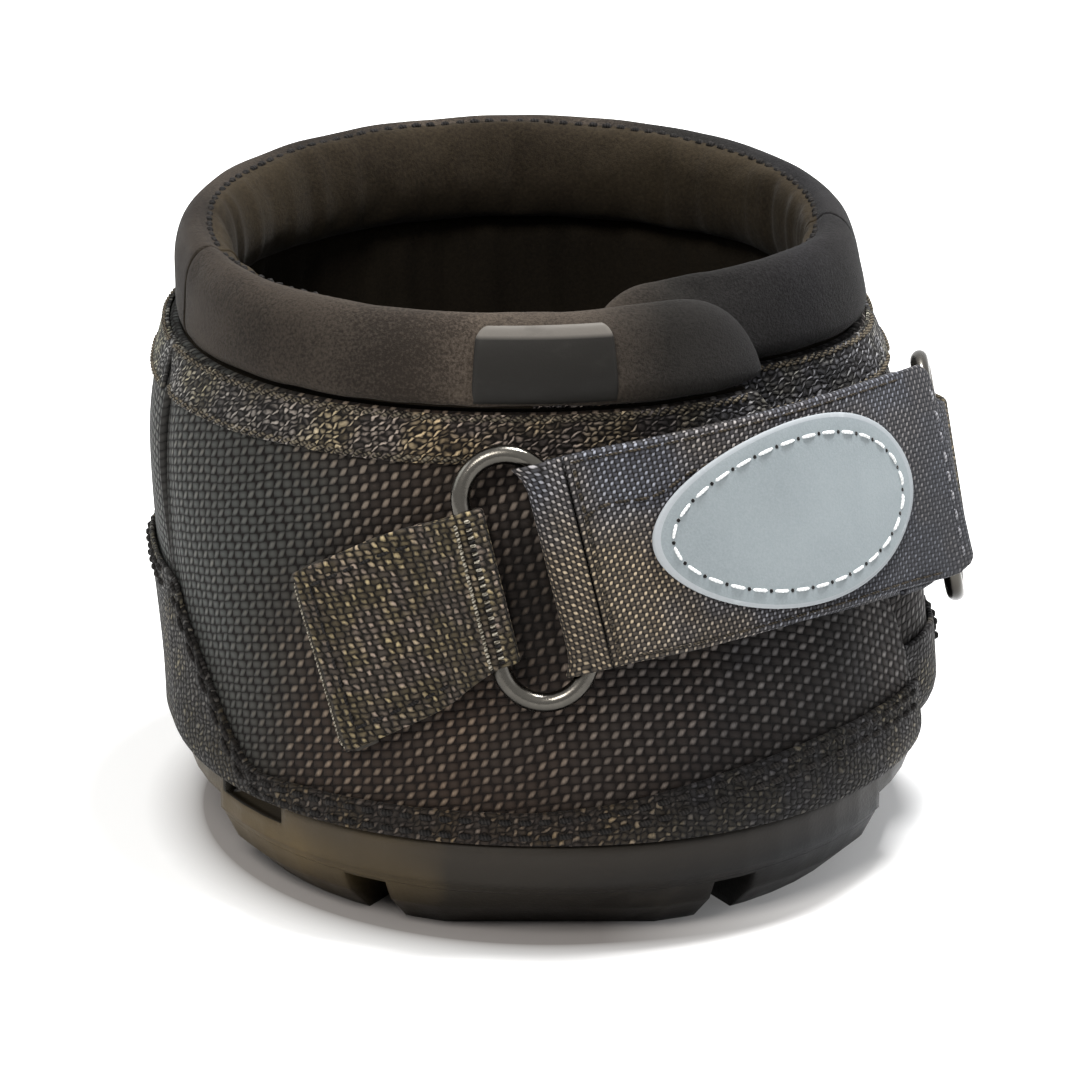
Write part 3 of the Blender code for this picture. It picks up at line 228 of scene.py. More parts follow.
STITCHES = {"crest": (0.0030, 0.0009, 0.00068), "hem": (0.0030, 0.0009, 0.00056),
            "strap_end": (0.0021, 0.0013, 0.00028), "strap_fold": (0.0016, 0.0006, 0.00034),
            "strap_crossing": (0.0028, 0.0003, 0.0003), "strap_edge": (0.003, 0.0, 0.00022),
            "label": (0.0032, 0.0011, 0.00032), "film_rim": (0.0012, 0.0, 0.00022),
            "ridge": (0.0012, 0.0, 0.00036), "bead": (0.0008, 0.0008, 0.00062),
            "bead_light": (0.0008, 0.0008, 0.00056), "tab_seam": (0.0024, 0.0009, 0.00034)}

# Distances of the strap's and the label's stitches from the edges, and the stitch across the fold

STRAP_END_INSET = 0.0024
STRAP_FOLD_INSET = 0.0016
STRAP_EDGE_INSET = 0.0013
LABEL_INSET = 0.0034
LABEL_STEPS = 720
HOLE_PITCH = 0.0043
HOLE_SHIFT = 0.00055
HOLE_RINGS = ((0.00003, 0.00042), (0.00012, 0.0003))
CROSSING_RUN = 0.026
CROSSING_START = 0.001
CROSSING_REACH = 0.024
CROSSING_RISE = (0.0085, 0.0135)
CROSSING_SWAY = 0.0008

# Film at the left tab's end, its box seam, and the stitches beside the ring

FILM_LAYERS = (-1.75 * TAB_THICKNESS, -1.95 * TAB_THICKNESS)
FILM_START = 0.006
FILM_PAST = 0.0022
FILM_CORNER = 0.0035
FILM_SHARE = 1.03
RIM_SHARE = 1.02
RIM_INSET = 0.0002
BOX_INSET = 0.0035
BOX_START = 0.01
BOX_SHARE = 0.8
RIDGE_PLACE = 0.0018
BEAD_PLACE = -0.0006
BEAD_PITCH = 0.0008
BESIDE_SHARE = 0.96

# Hinge seams, the collar's seams round its section, and its padding

SIDE_ENDS = {"rear": (REAR_START, REAR_END), "outer_flap": (OUTER_HINGE, FLAP_EDGE),
             "inner_flap": (FLAP_TIP, INNER_HINGE)}
BAND_END = radians(40.0)
HINGE_ZONE = radians(14.0)
COLLAR_TIPS = {"outer_flap": radians(44.0), "inner_flap": radians(12.0)}
TIP_ANGLE = radians(16.0)
CREST_TURN = radians(105.0)
LINING_END_TURN = radians(265.0)
FOOT_TURN = radians(48.0)
FOOT_BULGE = 0.0021
CREST_SIDE = round(CREST_TURN / FULL_TURN * COLLAR_SIDES)
LINING_END_SIDE = round(LINING_END_TURN / FULL_TURN * COLLAR_SIDES)
FOOT_SIDE = round(0.75 * COLLAR_SIDES)
CRISP_LENGTH = 0.00025
COLLAR_GIRTH = 0.05
UNDER_MIDDLE = COLLAR_HALF_THICKNESS * 2.0 + PIECE_GAP + INNER_COLLAR_HALF_THICKNESS
CLOTH_FRAMES = 20
CLOTH_LIMIT = 0.0014
CLOTH_SETTINGS = {"quality": 5, "mass": 0.2, "tension_stiffness": 12.0, "compression_stiffness": 6.0,
                  "shear_stiffness": 4.0, "bending_stiffness": 0.3, "use_pressure": True,
                  "uniform_pressure_force": 4.0, "shrink_min": -0.003, "vertex_group_mass": "sewn"}

# The strap's gather at the right ring, and the sole's parting line and drain slot

GATHER_SHARE = 0.72
GATHER_LENGTH = 0.016
PARTING_HEIGHT = 0.0112
DRAIN_MIDDLE = radians(-51.5)
DRAIN_HALF = radians(7.7)
DRAIN_FLOOR = RIM_TOP - 0.00425

# Camera

CAMERA_PLACE = Vector((0.0, -0.8927, 0.3849))
CAMERA_TARGET = Vector((0.0, 0.0, 0.06))
CAMERA_LENS = 155.2
CAMERA_SHIFT = (-10.0 / 1080.0, -16.0 / 1080.0)


# Form of the boot, as in the model


def smooth(share):
    share = min(max(share, 0.0), 1.0)
    return share * share * (3.0 - 2.0 * share)


def drift(place):
    return noise.noise(Vector(place))


def blend(first, second, share):
    return first + (second - first) * share


def wall_rise(height):
    return min(max((height - RIM_TOP) / (WALL_TOP - RIM_TOP), 0.0), 1.0)


def wall_section(height):
    rise = wall_rise(height)
    toe = -TOE_REACH + TOE_LEAN * rise
    heel = HEEL_REACH + HEEL_LEAN * rise
    half_width = blend(LOW_HALF_WIDTH, TOP_HALF_WIDTH, rise ** PINCH_POWER)
    half_width -= FOOT_PINCH * max(1.0 - (height - RIM_TOP) / FOOT_HEIGHT, 0.0) ** 2
    centre = Vector((-COLLAR_SHIFT * smooth(rise), (toe + heel) / 2.0, height))
    return centre, half_width, (heel - toe) / 2.0


def wall_skin(angle, height):
    centre, half_width, half_length = wall_section(height)
    east, south = sin(angle), cos(angle)
    power = WALL_POWER if south > 0.0 else HEEL_POWER
    total = abs(east / half_width) ** power + abs(south / half_length) ** power
    reach = total ** (-1.0 / power)
    return centre + Vector((reach * east, -reach * south, 0.0))


def wall_axes(angle, height):
    ahead = wall_skin(angle + PROBE_ANGLE, height) - wall_skin(angle - PROBE_ANGLE, height)
    probe = min(height, WALL_TOP - PROBE_HEIGHT)
    above = wall_skin(angle, probe + PROBE_HEIGHT) - wall_skin(angle, probe - PROBE_HEIGHT)
    ahead.normalize()
    out = ahead.cross(above).normalized()
    return ahead, out.cross(ahead), out


def wall_point(angle, height, offset):
    return wall_skin(angle, height) + wall_axes(angle, height)[2] * offset


def level_point(angle, height, offset):
    out = wall_axes(angle, height)[2]
    return wall_skin(angle, height) + Vector((out.x, out.y, 0.0)) * (offset / (out.x ** 2 + out.y ** 2))


def flap_edge(height):
    rise = wall_rise(height)
    return FLAP_EDGE - FLAP_EDGE_SWEEP * rise ** FLAP_EDGE_POWER


def under_share(angle, height):
    rise = wall_rise(height) ** 2
    start = blend(INNER_HINGE, DIP_START_TOP, rise)
    end = blend(DIP_END_LOW, DIP_END_TOP, rise)
    return smooth((start - angle) / (start - end))


def inner_dip(angle, height):
    steps = float(np.interp(height, WALL_LEVELS, range(WALL_ROWS + 1)))
    row = min(floor(steps), WALL_ROWS - 1)
    depths = []
    for level in WALL_LEVELS[row:row + 2]:
        deepest = DIP_LOW + DIP_TOP_GAIN * wall_rise(level) ** 2
        depths.append(deepest * under_share(angle, level))
    return blend(depths[0], depths[1], steps - row)


def seam_angle(height):
    return SEAM_GAP / 2.0 / wall_section(height)[1]


WALL_LOW = RIM_TOP + PIECE_GAP
BAND_LOW = WALL_TOP - BAND_HEIGHT
FOOT_TOP = RIM_TOP + FOOT_HEIGHT
EVEN_ROWS = WALL_ROWS - 2
WALL_LEVELS = [WALL_LOW] + [blend(FOOT_TOP, BAND_LOW, row / EVEN_ROWS) for row in range(EVEN_ROWS + 1)]
WALL_LEVELS.append(WALL_TOP)
LINING_OFFSET = -(FABRIC_THICKNESS + PIECE_GAP + LINING_THICKNESS)


def hem_top(angle):
    left = smooth((HEM_LEFT_START - angle) / (HEM_LEFT_START - OUTER_HINGE))
    right = smooth((angle - HEM_RIGHT_START) / HEM_RIGHT_SPAN)
    return RIM_TOP + HEM_HEIGHT + HEM_LEFT_RISE * left + HEM_RIGHT_RISE * right


def rear_rand_top(angle):
    share = (angle - REAR_START) / (REAR_END - REAR_START)
    right, left = REAR_RAND_RIGHT_HEIGHT, HEM_HEIGHT + HEM_LEFT_RISE
    heel = REAR_RAND_HEEL_GAIN * sin(pi * min(max(share, 0.0), 1.0))
    return RIM_TOP + blend(right, left, smooth(share)) + heel


def inner_hem_top(angle):
    return RIM_TOP + INNER_HEM_HEIGHT


COLLAR_BASE = WALL_TOP + COLLAR_SEAT_GAP


def collar_half_height(angle):
    return COLLAR_HALF_HEIGHT * (1.0 - COLLAR_HEEL_GAIN_SHARE * cos(angle))


def collar_profile(angle, depth, half_thickness, tip_share, turn, proud=0.0):
    above, out = wall_axes(angle, RING_HEIGHT)[1:]
    half_height = collar_half_height(angle) * tip_share
    centre = level_point(angle, COLLAR_BASE + half_height, -depth)
    across, along = cos(turn), sin(turn)
    across = copysign(abs(across) ** (2.0 / COLLAR_POWER), across)
    along = copysign(abs(along) ** (2.0 / COLLAR_POWER), along)
    thick = half_thickness * blend(COLLAR_TIP_WIDTH_SHARE, 1.0, tip_share) + proud
    tall = (half_height + proud) / above.z
    return centre + out * (thick * across) + above * (tall * along)


AROUND_ANGLES = np.radians(np.linspace(*PATH_DEGREES, PATH_POINTS))
AROUND_POINTS = np.array([wall_skin(float(angle), RING_HEIGHT) for angle in AROUND_ANGLES])
AROUND_STEPS = np.linalg.norm(np.diff(AROUND_POINTS, axis=0), axis=1)
AROUND_LENGTHS = np.concatenate([[0.0], np.cumsum(AROUND_STEPS)])


def around_at(angle):
    return float(np.interp(angle, AROUND_ANGLES, AROUND_LENGTHS))


LEFT_RING_PLACE = around_at(LEFT_RING_ANGLE)
LEVEL_SPAN = around_at(RIGHT_RING_ANGLE) - LEFT_RING_PLACE
PATH_STRETCH = (LEFT_TILT + RIGHT_TILT) / (sin(LEFT_TILT) + sin(RIGHT_TILT))
RIGHT_RING_PLACE = LEFT_RING_PLACE + LEVEL_SPAN * PATH_STRETCH
PATH_LENGTHS = np.linspace(AROUND_LENGTHS[0], AROUND_LENGTHS[-1], PATH_POINTS)
PATH_TILTS = np.interp(PATH_LENGTHS, (LEFT_RING_PLACE, RIGHT_RING_PLACE),
                       (LEFT_TILT, -RIGHT_TILT))
PATH_STEP = PATH_LENGTHS[1] - PATH_LENGTHS[0]
PATH_AROUND = np.cumsum(np.cos(PATH_TILTS)) * PATH_STEP
PATH_AROUND = PATH_AROUND + LEFT_RING_PLACE - np.interp(LEFT_RING_PLACE, PATH_LENGTHS, PATH_AROUND)
PATH_RISES = np.cumsum(np.sin(PATH_TILTS)) * PATH_STEP
PATH_RISES = PATH_RISES - np.interp(LEFT_RING_PLACE, PATH_LENGTHS, PATH_RISES)


def path_at(length):
    return [float(np.interp(length, PATH_LENGTHS, values))
            for values in (PATH_AROUND, PATH_RISES, PATH_TILTS)]


def length_at(angle):
    return float(np.interp(around_at(angle), PATH_AROUND, PATH_LENGTHS))


def angle_at(around):
    return float(np.interp(around, AROUND_LENGTHS, AROUND_ANGLES))


RING_STANDOFF = PIECE_GAP + BAND_THICKNESS + PIECE_GAP + STRAP_THICKNESS + FOLD_GAP + WIRE_RADIUS
LEFT_FOLD = LEFT_RING_PLACE + RING_HALF_WIDTH
RIGHT_FOLD = RIGHT_RING_PLACE - RING_HALF_WIDTH
STRAP_FOLD_RADIUS = WIRE_RADIUS + FOLD_GAP + STRAP_THICKNESS / 2.0
TAB_FOLD_RADIUS = WIRE_RADIUS + FOLD_GAP + TAB_THICKNESS / 2.0


def ring_axes(place):
    around, rise, tilt = path_at(place)
    angle = angle_at(around)
    ahead, above, out = wall_axes(angle, RING_HEIGHT)
    centre = wall_point(angle, RING_HEIGHT + rise * above.z, RING_STANDOFF)
    along = ahead * cos(tilt) + above * sin(tilt)
    return centre, along, out.cross(along), out


RING_SEATS = [(place, ring_axes(place)) for place in (LEFT_RING_PLACE, RIGHT_RING_PLACE)]


def webbing_point(length, across, lift):
    around, rise, tilt = path_at(length)
    angle = angle_at(around - sin(tilt) * across)
    above = wall_axes(angle, RING_HEIGHT)[1]
    height = RING_HEIGHT + (rise + cos(tilt) * across) * above.z
    point = wall_point(angle, height, RING_STANDOFF + lift)
    for place, (centre, along, upright, out) in RING_SEATS:
        share = 1.0 - smooth((abs(length - place) - RING_FLAT) / RING_BLEND)
        flat = centre + along * (length - place) + upright * across + out * lift
        point = point.lerp(flat, share)
    return point


def ring_end_pull(across):
    past = max(abs(across) - (RING_HALF_HEIGHT - RING_HALF_WIDTH), 0.0)
    inside = RING_HALF_WIDTH - WIRE_RADIUS
    return inside - sqrt(max(inside ** 2 - past ** 2, 0.0))


STRAP_TAIL_START = LEFT_FOLD + STRAP_HINGE_REACH
STRAP_TAIL_END = length_at(STRAP_END_ANGLE)
RETURN_START = RIGHT_FOLD - RETURN_LENGTH
LABEL_CENTRE = length_at(LABEL_ANGLE)
NAME_TAB_TOP = collar_profile(NAME_TAB_MIDDLE, COLLAR_HALF_THICKNESS, COLLAR_HALF_THICKNESS, 1.0,
                              NAME_TAB_HIGH_TURN).z


def tail_lift(length):
    past = smooth((length - (STRAP_TAIL_END - STRAP_END_RISE_LENGTH)) / STRAP_END_RISE_LENGTH)
    return STRAP_FOLD_RADIUS + STRAP_END_RISE * past


def tail_middle(length):
    share = (length - STRAP_TAIL_START) / (STRAP_TAIL_END - STRAP_TAIL_START)
    return STRAP_LIFT + STRAP_END_LIFT * smooth(share)


# Camera and lamps


def make_camera():
    data = bpy.data.cameras.new("camera")
    data.lens = CAMERA_LENS
    data.sensor_width = 36.0
    data.shift_x, data.shift_y = CAMERA_SHIFT
    camera = bpy.data.objects.new("camera", data)
    camera.location = CAMERA_PLACE
    camera.rotation_euler = (CAMERA_TARGET - CAMERA_PLACE).to_track_quat("-Z", "Y").to_euler()
    bpy.context.scene.collection.objects.link(camera)
    bpy.context.scene.camera = camera


def area_lamp(name, place, size, power, colour):
    data = bpy.data.lights.new(name, "AREA")
    data.shape = "DISK"
    data.size = size
    data.energy = power
    data.color = colour
    lamp = bpy.data.objects.new(name, data)
    lamp.location = place
    lamp.rotation_euler = (CAMERA_TARGET - Vector(place)).to_track_quat("-Z", "Y").to_euler()
    bpy.context.scene.collection.objects.link(lamp)


# Shader nodes


class Value:
    """A number in a node tree, written in sums like a plain number."""

    def __init__(self, nodes, socket):
        self.nodes = nodes
        self.socket = socket

    def __add__(self, other):
        return self.nodes.math("ADD", self, other)

    def __sub__(self, other):
        return self.nodes.math("SUBTRACT", self, other)

    def __rsub__(self, other):
        return self.nodes.math("SUBTRACT", other, self)

    def __mul__(self, other):
        return self.nodes.math("MULTIPLY", self, other)

    def __truediv__(self, other):
        return self.nodes.math("DIVIDE", self, other)

    def __pow__(self, other):
        return self.nodes.math("POWER", self, other)

    def __abs__(self):
        return self.nodes.math("ABSOLUTE", self)


class Nodes:
    """The node tree of a material or world, with short calls for the nodes used here."""

    def __init__(self, owner):
        owner.use_nodes = True
        self.owner = owner
        self.tree = owner.node_tree

    def add(self, kind, inputs=(), **settings):
        node = self.tree.nodes.new(kind)
        for setting, value in settings.items():
            setattr(node, setting, value)
        for socket, value in dict(inputs).items():
            self.put(node.inputs[socket], value)
        return node

    def put(self, socket, value):
        """Links a socket to a value in the tree, or sets its plain number, direction or colour."""
        if isinstance(value, Value):
            value = value.socket
        if isinstance(value, bpy.types.NodeSocket):
            self.tree.links.new(value, socket)
        else:
            socket.default_value = (*value, 1.0) if socket.type == "RGBA" else value

    def math(self, operation, *values):
        node = self.add("ShaderNodeMath", enumerate(values), operation=operation)
        return Value(self, node.outputs[0])

    def most(self, first, second):
        return self.math("MAXIMUM", first, second)

    def least(self, first, second):
        return self.math("MINIMUM", first, second)

    def level(self, value, low, high, low_out=0.0, high_out=1.0):
        node = self.add("ShaderNodeMapRange", enumerate((value, low, high, low_out, high_out)))
        return Value(self, node.outputs[0])

    def mix_number(self, share, first, second):
        node = self.add("ShaderNodeMix", {0: share, 2: first, 3: second}, data_type="FLOAT")
        return Value(self, node.outputs[0])

    def seen(self):
        """One where the camera looks straight or by a shine, zero for all other light."""
        light = self.add("ShaderNodeLightPath").outputs
        return self.most(light["Is Camera Ray"], light["Is Glossy Ray"])


class Surface(Nodes):
    """A new material's nodes, with the object place of each point and its three parts."""

    def __init__(self, name):
        super().__init__(bpy.data.materials.new(name))
        self.shader = self.tree.nodes["Principled BSDF"]
        self.place = self.add("ShaderNodeTexCoord").outputs["Object"]
        self.east, self.north, self.tall = self.split(self.place)

    def split(self, direction):
        parts = self.add("ShaderNodeSeparateXYZ", {0: direction}).outputs
        return [Value(self, part) for part in parts]

    def join(self, *parts):
        return self.add("ShaderNodeCombineXYZ", enumerate(parts)).outputs[0]

    def sheet_axes(self):
        """Distances along and across the fabric, from its UV map."""
        return self.split(self.add("ShaderNodeUVMap", uv_map="UVMap").outputs[0])[:2]

    def mapped(self, scale, shift=(0.0, 0.0, 0.0), place=None):
        inputs = {0: self.place if place is None else place, 1: shift, 3: scale}
        return self.add("ShaderNodeMapping", inputs).outputs[0]

    def reach(self, scale=(1.0, 1.0, 1.0), shift=(0.0, 0.0, 0.0)):
        """Distance of the scaled and shifted place from the middle."""
        node = self.add("ShaderNodeVectorMath", {0: self.mapped(scale, shift)}, operation="LENGTH")
        return Value(self, node.outputs["Value"])

    def noise(self, scale, detail=3.0, roughness=0.5, place=None):
        inputs = {"Vector": self.place if place is None else place, "Scale": scale, "Detail": detail,
                  "Roughness": roughness}
        return Value(self, self.add("ShaderNodeTexNoise", inputs).outputs[0])

    def mix(self, share, first, second, blend_type="MIX"):
        inputs = {0: share, 6: first, 7: second}
        return self.add("ShaderNodeMix", inputs, data_type="RGBA", blend_type=blend_type).outputs[2]

    def ramp(self, value, stops):
        node = self.add("ShaderNodeValToRGB", {0: value})
        points = node.color_ramp.elements
        while len(points) < len(stops):
            points.new(0.5)
        for point, (place, colour) in zip(points, stops):
            point.position = place
            point.color = (*colour, 1.0)
        return node.outputs[0]

    def tinted(self, colour, zone, stops):
        """The colour times the ramp's colour at the zone."""
        return self.mix(1.0, colour, self.ramp(zone, stops), "MULTIPLY")

    def zone(self, stray=0.05):
        """How far to the right of the boot a point is, with a little wander."""
        wander = self.noise(26.0, 2.0) * stray - stray / 2.0
        return self.level(self.east + wander, -0.085, 0.085)

    def bump(self, height, distance, under=None):
        node = self.add("ShaderNodeBump", {"Height": height, "Distance": distance, "Strength": 1.0})
        if under is not None:
            self.put(node.inputs["Normal"], under)
        return node.outputs[0]

    def round_edges(self, radius, samples):
        return self.add("ShaderNodeBevel", {"Radius": radius}, samples=samples).outputs[0]

    def finish(self, colour, roughness, normal=None, **fixed):
        self.put(self.shader.inputs["Base Color"], colour)
        self.put(self.shader.inputs["Roughness"], roughness)
        if normal is not None:
            self.put(self.shader.inputs["Normal"], normal)
        for socket, value in fixed.items():
            self.shader.inputs[socket.replace("_", " ")].default_value = value
        return self.owner


# Materials. Tints go from the left of the boot to the right and paint light and shade by place, partly with
# the material's own tone.

# Painted light and shade on the upper by place: a cool sheen at the left, a lit warm front, a shaded right
# and a lit bulge at the far right.
ZONE_LIGHT_AND_SHADE_TINTS = ((0.0, (0.86, 0.96, 0.98)), (0.10, (0.86, 0.92, 0.92)), (0.20, (0.70, 0.69, 0.65)),
              (0.36, (1.12, 0.98, 0.84)), (0.56, (1.0, 0.93, 0.88)), (0.70, (0.56, 0.61, 0.70)),
              (0.87, (0.38, 0.42, 0.48)), (0.95, (1.30, 1.42, 1.56)))
# Painted light and shade on the collar: lit at the front and left, shaded at the right.
COLLAR_LIGHT_AND_SHADE_TINTS = ((0.0, (1.0, 0.97, 0.94)), (0.22, (1.1, 1.07, 1.02)), (0.30, (1.55, 1.52, 1.46)),
                (0.40, (2.5, 2.42, 2.3)), (0.54, (1.7, 1.66, 1.6)), (0.64, (0.42, 0.46, 0.49)),
                (0.80, (0.50, 0.59, 0.78)), (0.95, (0.85, 0.95, 1.12)))
# Sole colours from left to right: a painted warm reflection at the left, then the dark rubber, blue-grey at
# the right.
SOLE_TONES_AND_REFLECTION = ((0.0, (0.058, 0.042, 0.020)), (0.22, (0.074, 0.052, 0.024)), (0.33, (0.015, 0.012, 0.0085)),
              (0.62, (0.0075, 0.0062, 0.005)), (0.80, (0.0035, 0.0038, 0.0046)),
              (1.0, (0.006, 0.007, 0.009)))
# Painted shade for the narrow gaps of the hinge seams.
SEAM_SHADE_COLOUR = (0.024, 0.023, 0.022)
FADED_COLOUR = (0.024, 0.025, 0.029)
# Painted shade deep inside the boot, on the lining.
INSIDE_SHADE_COLOUR = (0.0025, 0.002, 0.0015)
RING_SHADE_COLOUR = (0.002, 0.0016, 0.0012)
RING_SHADE_SQUASH = 0.45


def weave_material(name, pitches, valley, bodies, glints, thread_bump, lean=0.42, narrow=0.80,
                   weft_glint=0.2, left_weft_glint=0.75, luck_share=0.4, stray=0.12, stray_scale=90.0,
                   patch_scale=45.0, tint=True, golden=False, fade=None, shaded=None, plain=None):
    """A plain weave of many-filament yarns: the floats that lean one way get a painted glint.

    bodies and glints hold the colours that the yarns change between from patch to patch.
    tint paints light and shade on the weave by its place round the boot and paints shade in the hinge seams,
    golden moves the patches as on the strap, fade darkens it to the right, shaded paints shade inside the
    left ring, and plain is a greyer colour painted on the left side as sheen.
    """
    n = Surface(name)
    u, v = n.sheet_axes()
    across = u / pitches[0] + n.level(n.noise(stray_scale, 2.0), 0.3, 0.7, -stray, stray)
    along = v / pitches[1] + n.level(n.noise(stray_scale * 1.3, 2.0), 0.3, 0.7, -stray, stray)
    turn_u = n.math("FRACT", across) * 2.0 - 1.0
    turn_v = n.math("FRACT", along) * 2.0 - 1.0
    leant = (turn_v * -lean + turn_u) / narrow
    dome_u = n.most(1.0 - leant * leant, 0.0)
    dome_v = 1.0 - turn_v * turn_v
    warp = n.math("SQRT", dome_u) * (dome_v * 0.65 + 0.35)
    weft = n.math("SQRT", dome_v) * ((1.0 - turn_u * turn_u) * 0.4 + 0.4)
    cell_u, cell_v = n.math("FLOOR", across), n.math("FLOOR", along)
    parity = n.math("MODULO", abs(cell_u + cell_v), 2.0)
    height = n.mix_number(parity, weft, warp)
    cell = n.join(cell_u, cell_v, parity)
    luck = Value(n, n.add("ShaderNodeTexWhiteNoise", {"Vector": cell}, noise_dimensions="3D").outputs[0])
    flat = n.join(u, v, 0.0)
    strands_warp = n.noise(1.0, 1.0, 0.5, n.mapped((7000.0, 900.0, 1.0), place=flat))
    strands_weft = n.noise(1.0, 1.0, 0.5, n.mapped((900.0, 7000.0, 1.0), place=flat))
    strands = n.mix_number(parity, strands_weft, strands_warp)

    zone = n.zone()
    # Painted sheen: on the left side the weft floats get more glint.
    lit = n.mix_number(parity, n.level(zone, 0.10, 0.24, left_weft_glint, weft_glint), 1.0)
    patch = n.level(n.noise(38.0, 3.0, 0.6), 0.3, 0.7, 0.65, 1.3)
    bright = (luck * luck_share + (1.0 - luck_share)) * lit * height ** 1.6 * patch * (strands + 0.5)
    # Painted light: glints brighter higher up the boot and dimmer low down.
    bright = bright * n.level(n.tall, 0.03, 0.09, 0.64, 1.34)
    which = n.level(n.noise(patch_scale, 2.0), 0.42, 0.58)
    if golden:
        corner = n.level(n.tall, 0.077, 0.087) * n.level(n.east, 0.012, 0.034, 1.0, 0.0)
        near = n.level(n.east, 0.004, 0.050, 0.95, -0.15) - corner
        which = n.most(n.least(which * 0.45 + near, 1.0), 0.0)
    body = n.mix(which, *bodies)
    # Painted sheen: the left side turns a greyer colour with fewer glints.
    if plain:
        left = n.level(zone, 0.18, 0.27, 1.0, 0.0)
        bright = bright * (left * -0.58 + 1.0)
        body = n.mix(left * 0.8, body, plain)
    colour = n.mix(n.level(height, 0.2, 0.85), valley, body)
    colour = n.mix(n.level(bright, 0.15, 0.95), colour, n.mix(which, *glints))
    # Painted light and shade by place round the boot, partly the fabric's own tone.
    if tint:
        colour = n.tinted(colour, zone, ZONE_LIGHT_AND_SHADE_TINTS)
        # Painted shade in the narrow gaps of the hinge seams.
        gaps = [abs(u - seam * LOW_HALF_WIDTH) for seam in (OUTER_HINGE, REAR_END, REAR_START)]
        gap = n.least(n.least(gaps[0], gaps[1]), gaps[2])
        colour = n.mix(n.level(gap, 0.0005, 0.0011, 0.9, 0.0), colour, SEAM_SHADE_COLOUR)
    if fade:
        colour = n.mix(n.level(n.east, *fade, 0.0, 0.62), colour, FADED_COLOUR)
    if shaded:
        east, north, tall = RING_SEATS[0][1][0] * -1.0
        reach = n.reach((1.0, 1.0, RING_SHADE_SQUASH), (east, north, RING_SHADE_SQUASH * tall))
        colour = n.mix(n.level(reach, 0.006, 0.0125, shaded, 0.0), colour, RING_SHADE_COLOUR)
    normal = n.bump(strands * 0.2 + height, thread_bump)
    return n.finish(colour, n.level(height, 0.2, 1.0, 0.85, 0.55), normal, Sheen_Weight=0.02,
                    Specular_IOR_Level=0.12)


def fleece_material(name, low, high, scale=900.0, bump=0.00025, sheen=0.6, roughness=0.95, spread=0.15,
                    tints=None, shade_below_height=None):
    """A soft brushed face: fine fuzz over slow changes of tone. tints paint light and shade by place, and
    below the height shade_below_height it gets painted shade.
    """
    n = Surface(name)
    fuzz = n.noise(scale, 4.0, 0.7)
    share = fuzz * 0.55 + n.noise(30.0) * 0.45
    colour = n.mix(n.level(share, 0.5 - spread, 0.5 + spread), low, high)
    # Painted light and shade on the collar by place.
    if tints:
        colour = n.tinted(colour, n.zone(0.015), tints)
    # Painted shade: darker lower down inside the boot.
    if shade_below_height:
        colour = n.mix(n.level(n.tall, shade_below_height - 0.016, shade_below_height, 0.70, 0.0), colour, INSIDE_SHADE_COLOUR)
    height = fuzz + n.noise(scale * 3.0, 2.0, 0.6) * 0.4
    return n.finish(colour, roughness, n.bump(height, bump), Sheen_Weight=sheen, Sheen_Roughness=0.35,
                    Specular_IOR_Level=0.08)


def scuffs(n, scale, tall_scale=2.2):
    return n.noise(scale, 5.0, 0.65, n.mapped((1.0, 1.0, tall_scale)))


def rubber_material(name, low, high, roughness=0.5, grain=1400.0, bump=0.00006, edge_round=0.0,
                    highlight_height=None, specular=0.12):
    """Moulded rubber with fine grain, scuffs, slow changes of gloss and a pale painted highlight along a rim
    at one height.
    """
    n = Surface(name)
    fine = n.noise(grain, 3.0, 0.6)
    scuff = scuffs(n, 90.0)
    colour = n.mix(n.level(n.noise(18.0, 2.0), 0.3, 0.7), low, high)
    # Painted highlight along the rim at the given height.
    if highlight_height:
        rim = n.level(n.tall, highlight_height - 0.0011, highlight_height - 0.0003, 0.0, 0.9)
        colour = n.mix(rim, colour, (0.12, 0.11, 0.098))
    worn = tuple(part * 2.0 + 0.004 for part in high)
    colour = n.mix(n.level(scuff, 0.58, 0.78) * 0.35, colour, worn)
    rough = n.level(scuff, 0.3, 0.75, roughness - 0.06, roughness + 0.12) + fine * 0.05
    edges = n.round_edges(edge_round, 4) if edge_round else None
    return n.finish(colour, rough, n.bump(fine + scuff * 1.5, bump, edges), Specular_IOR_Level=specular)


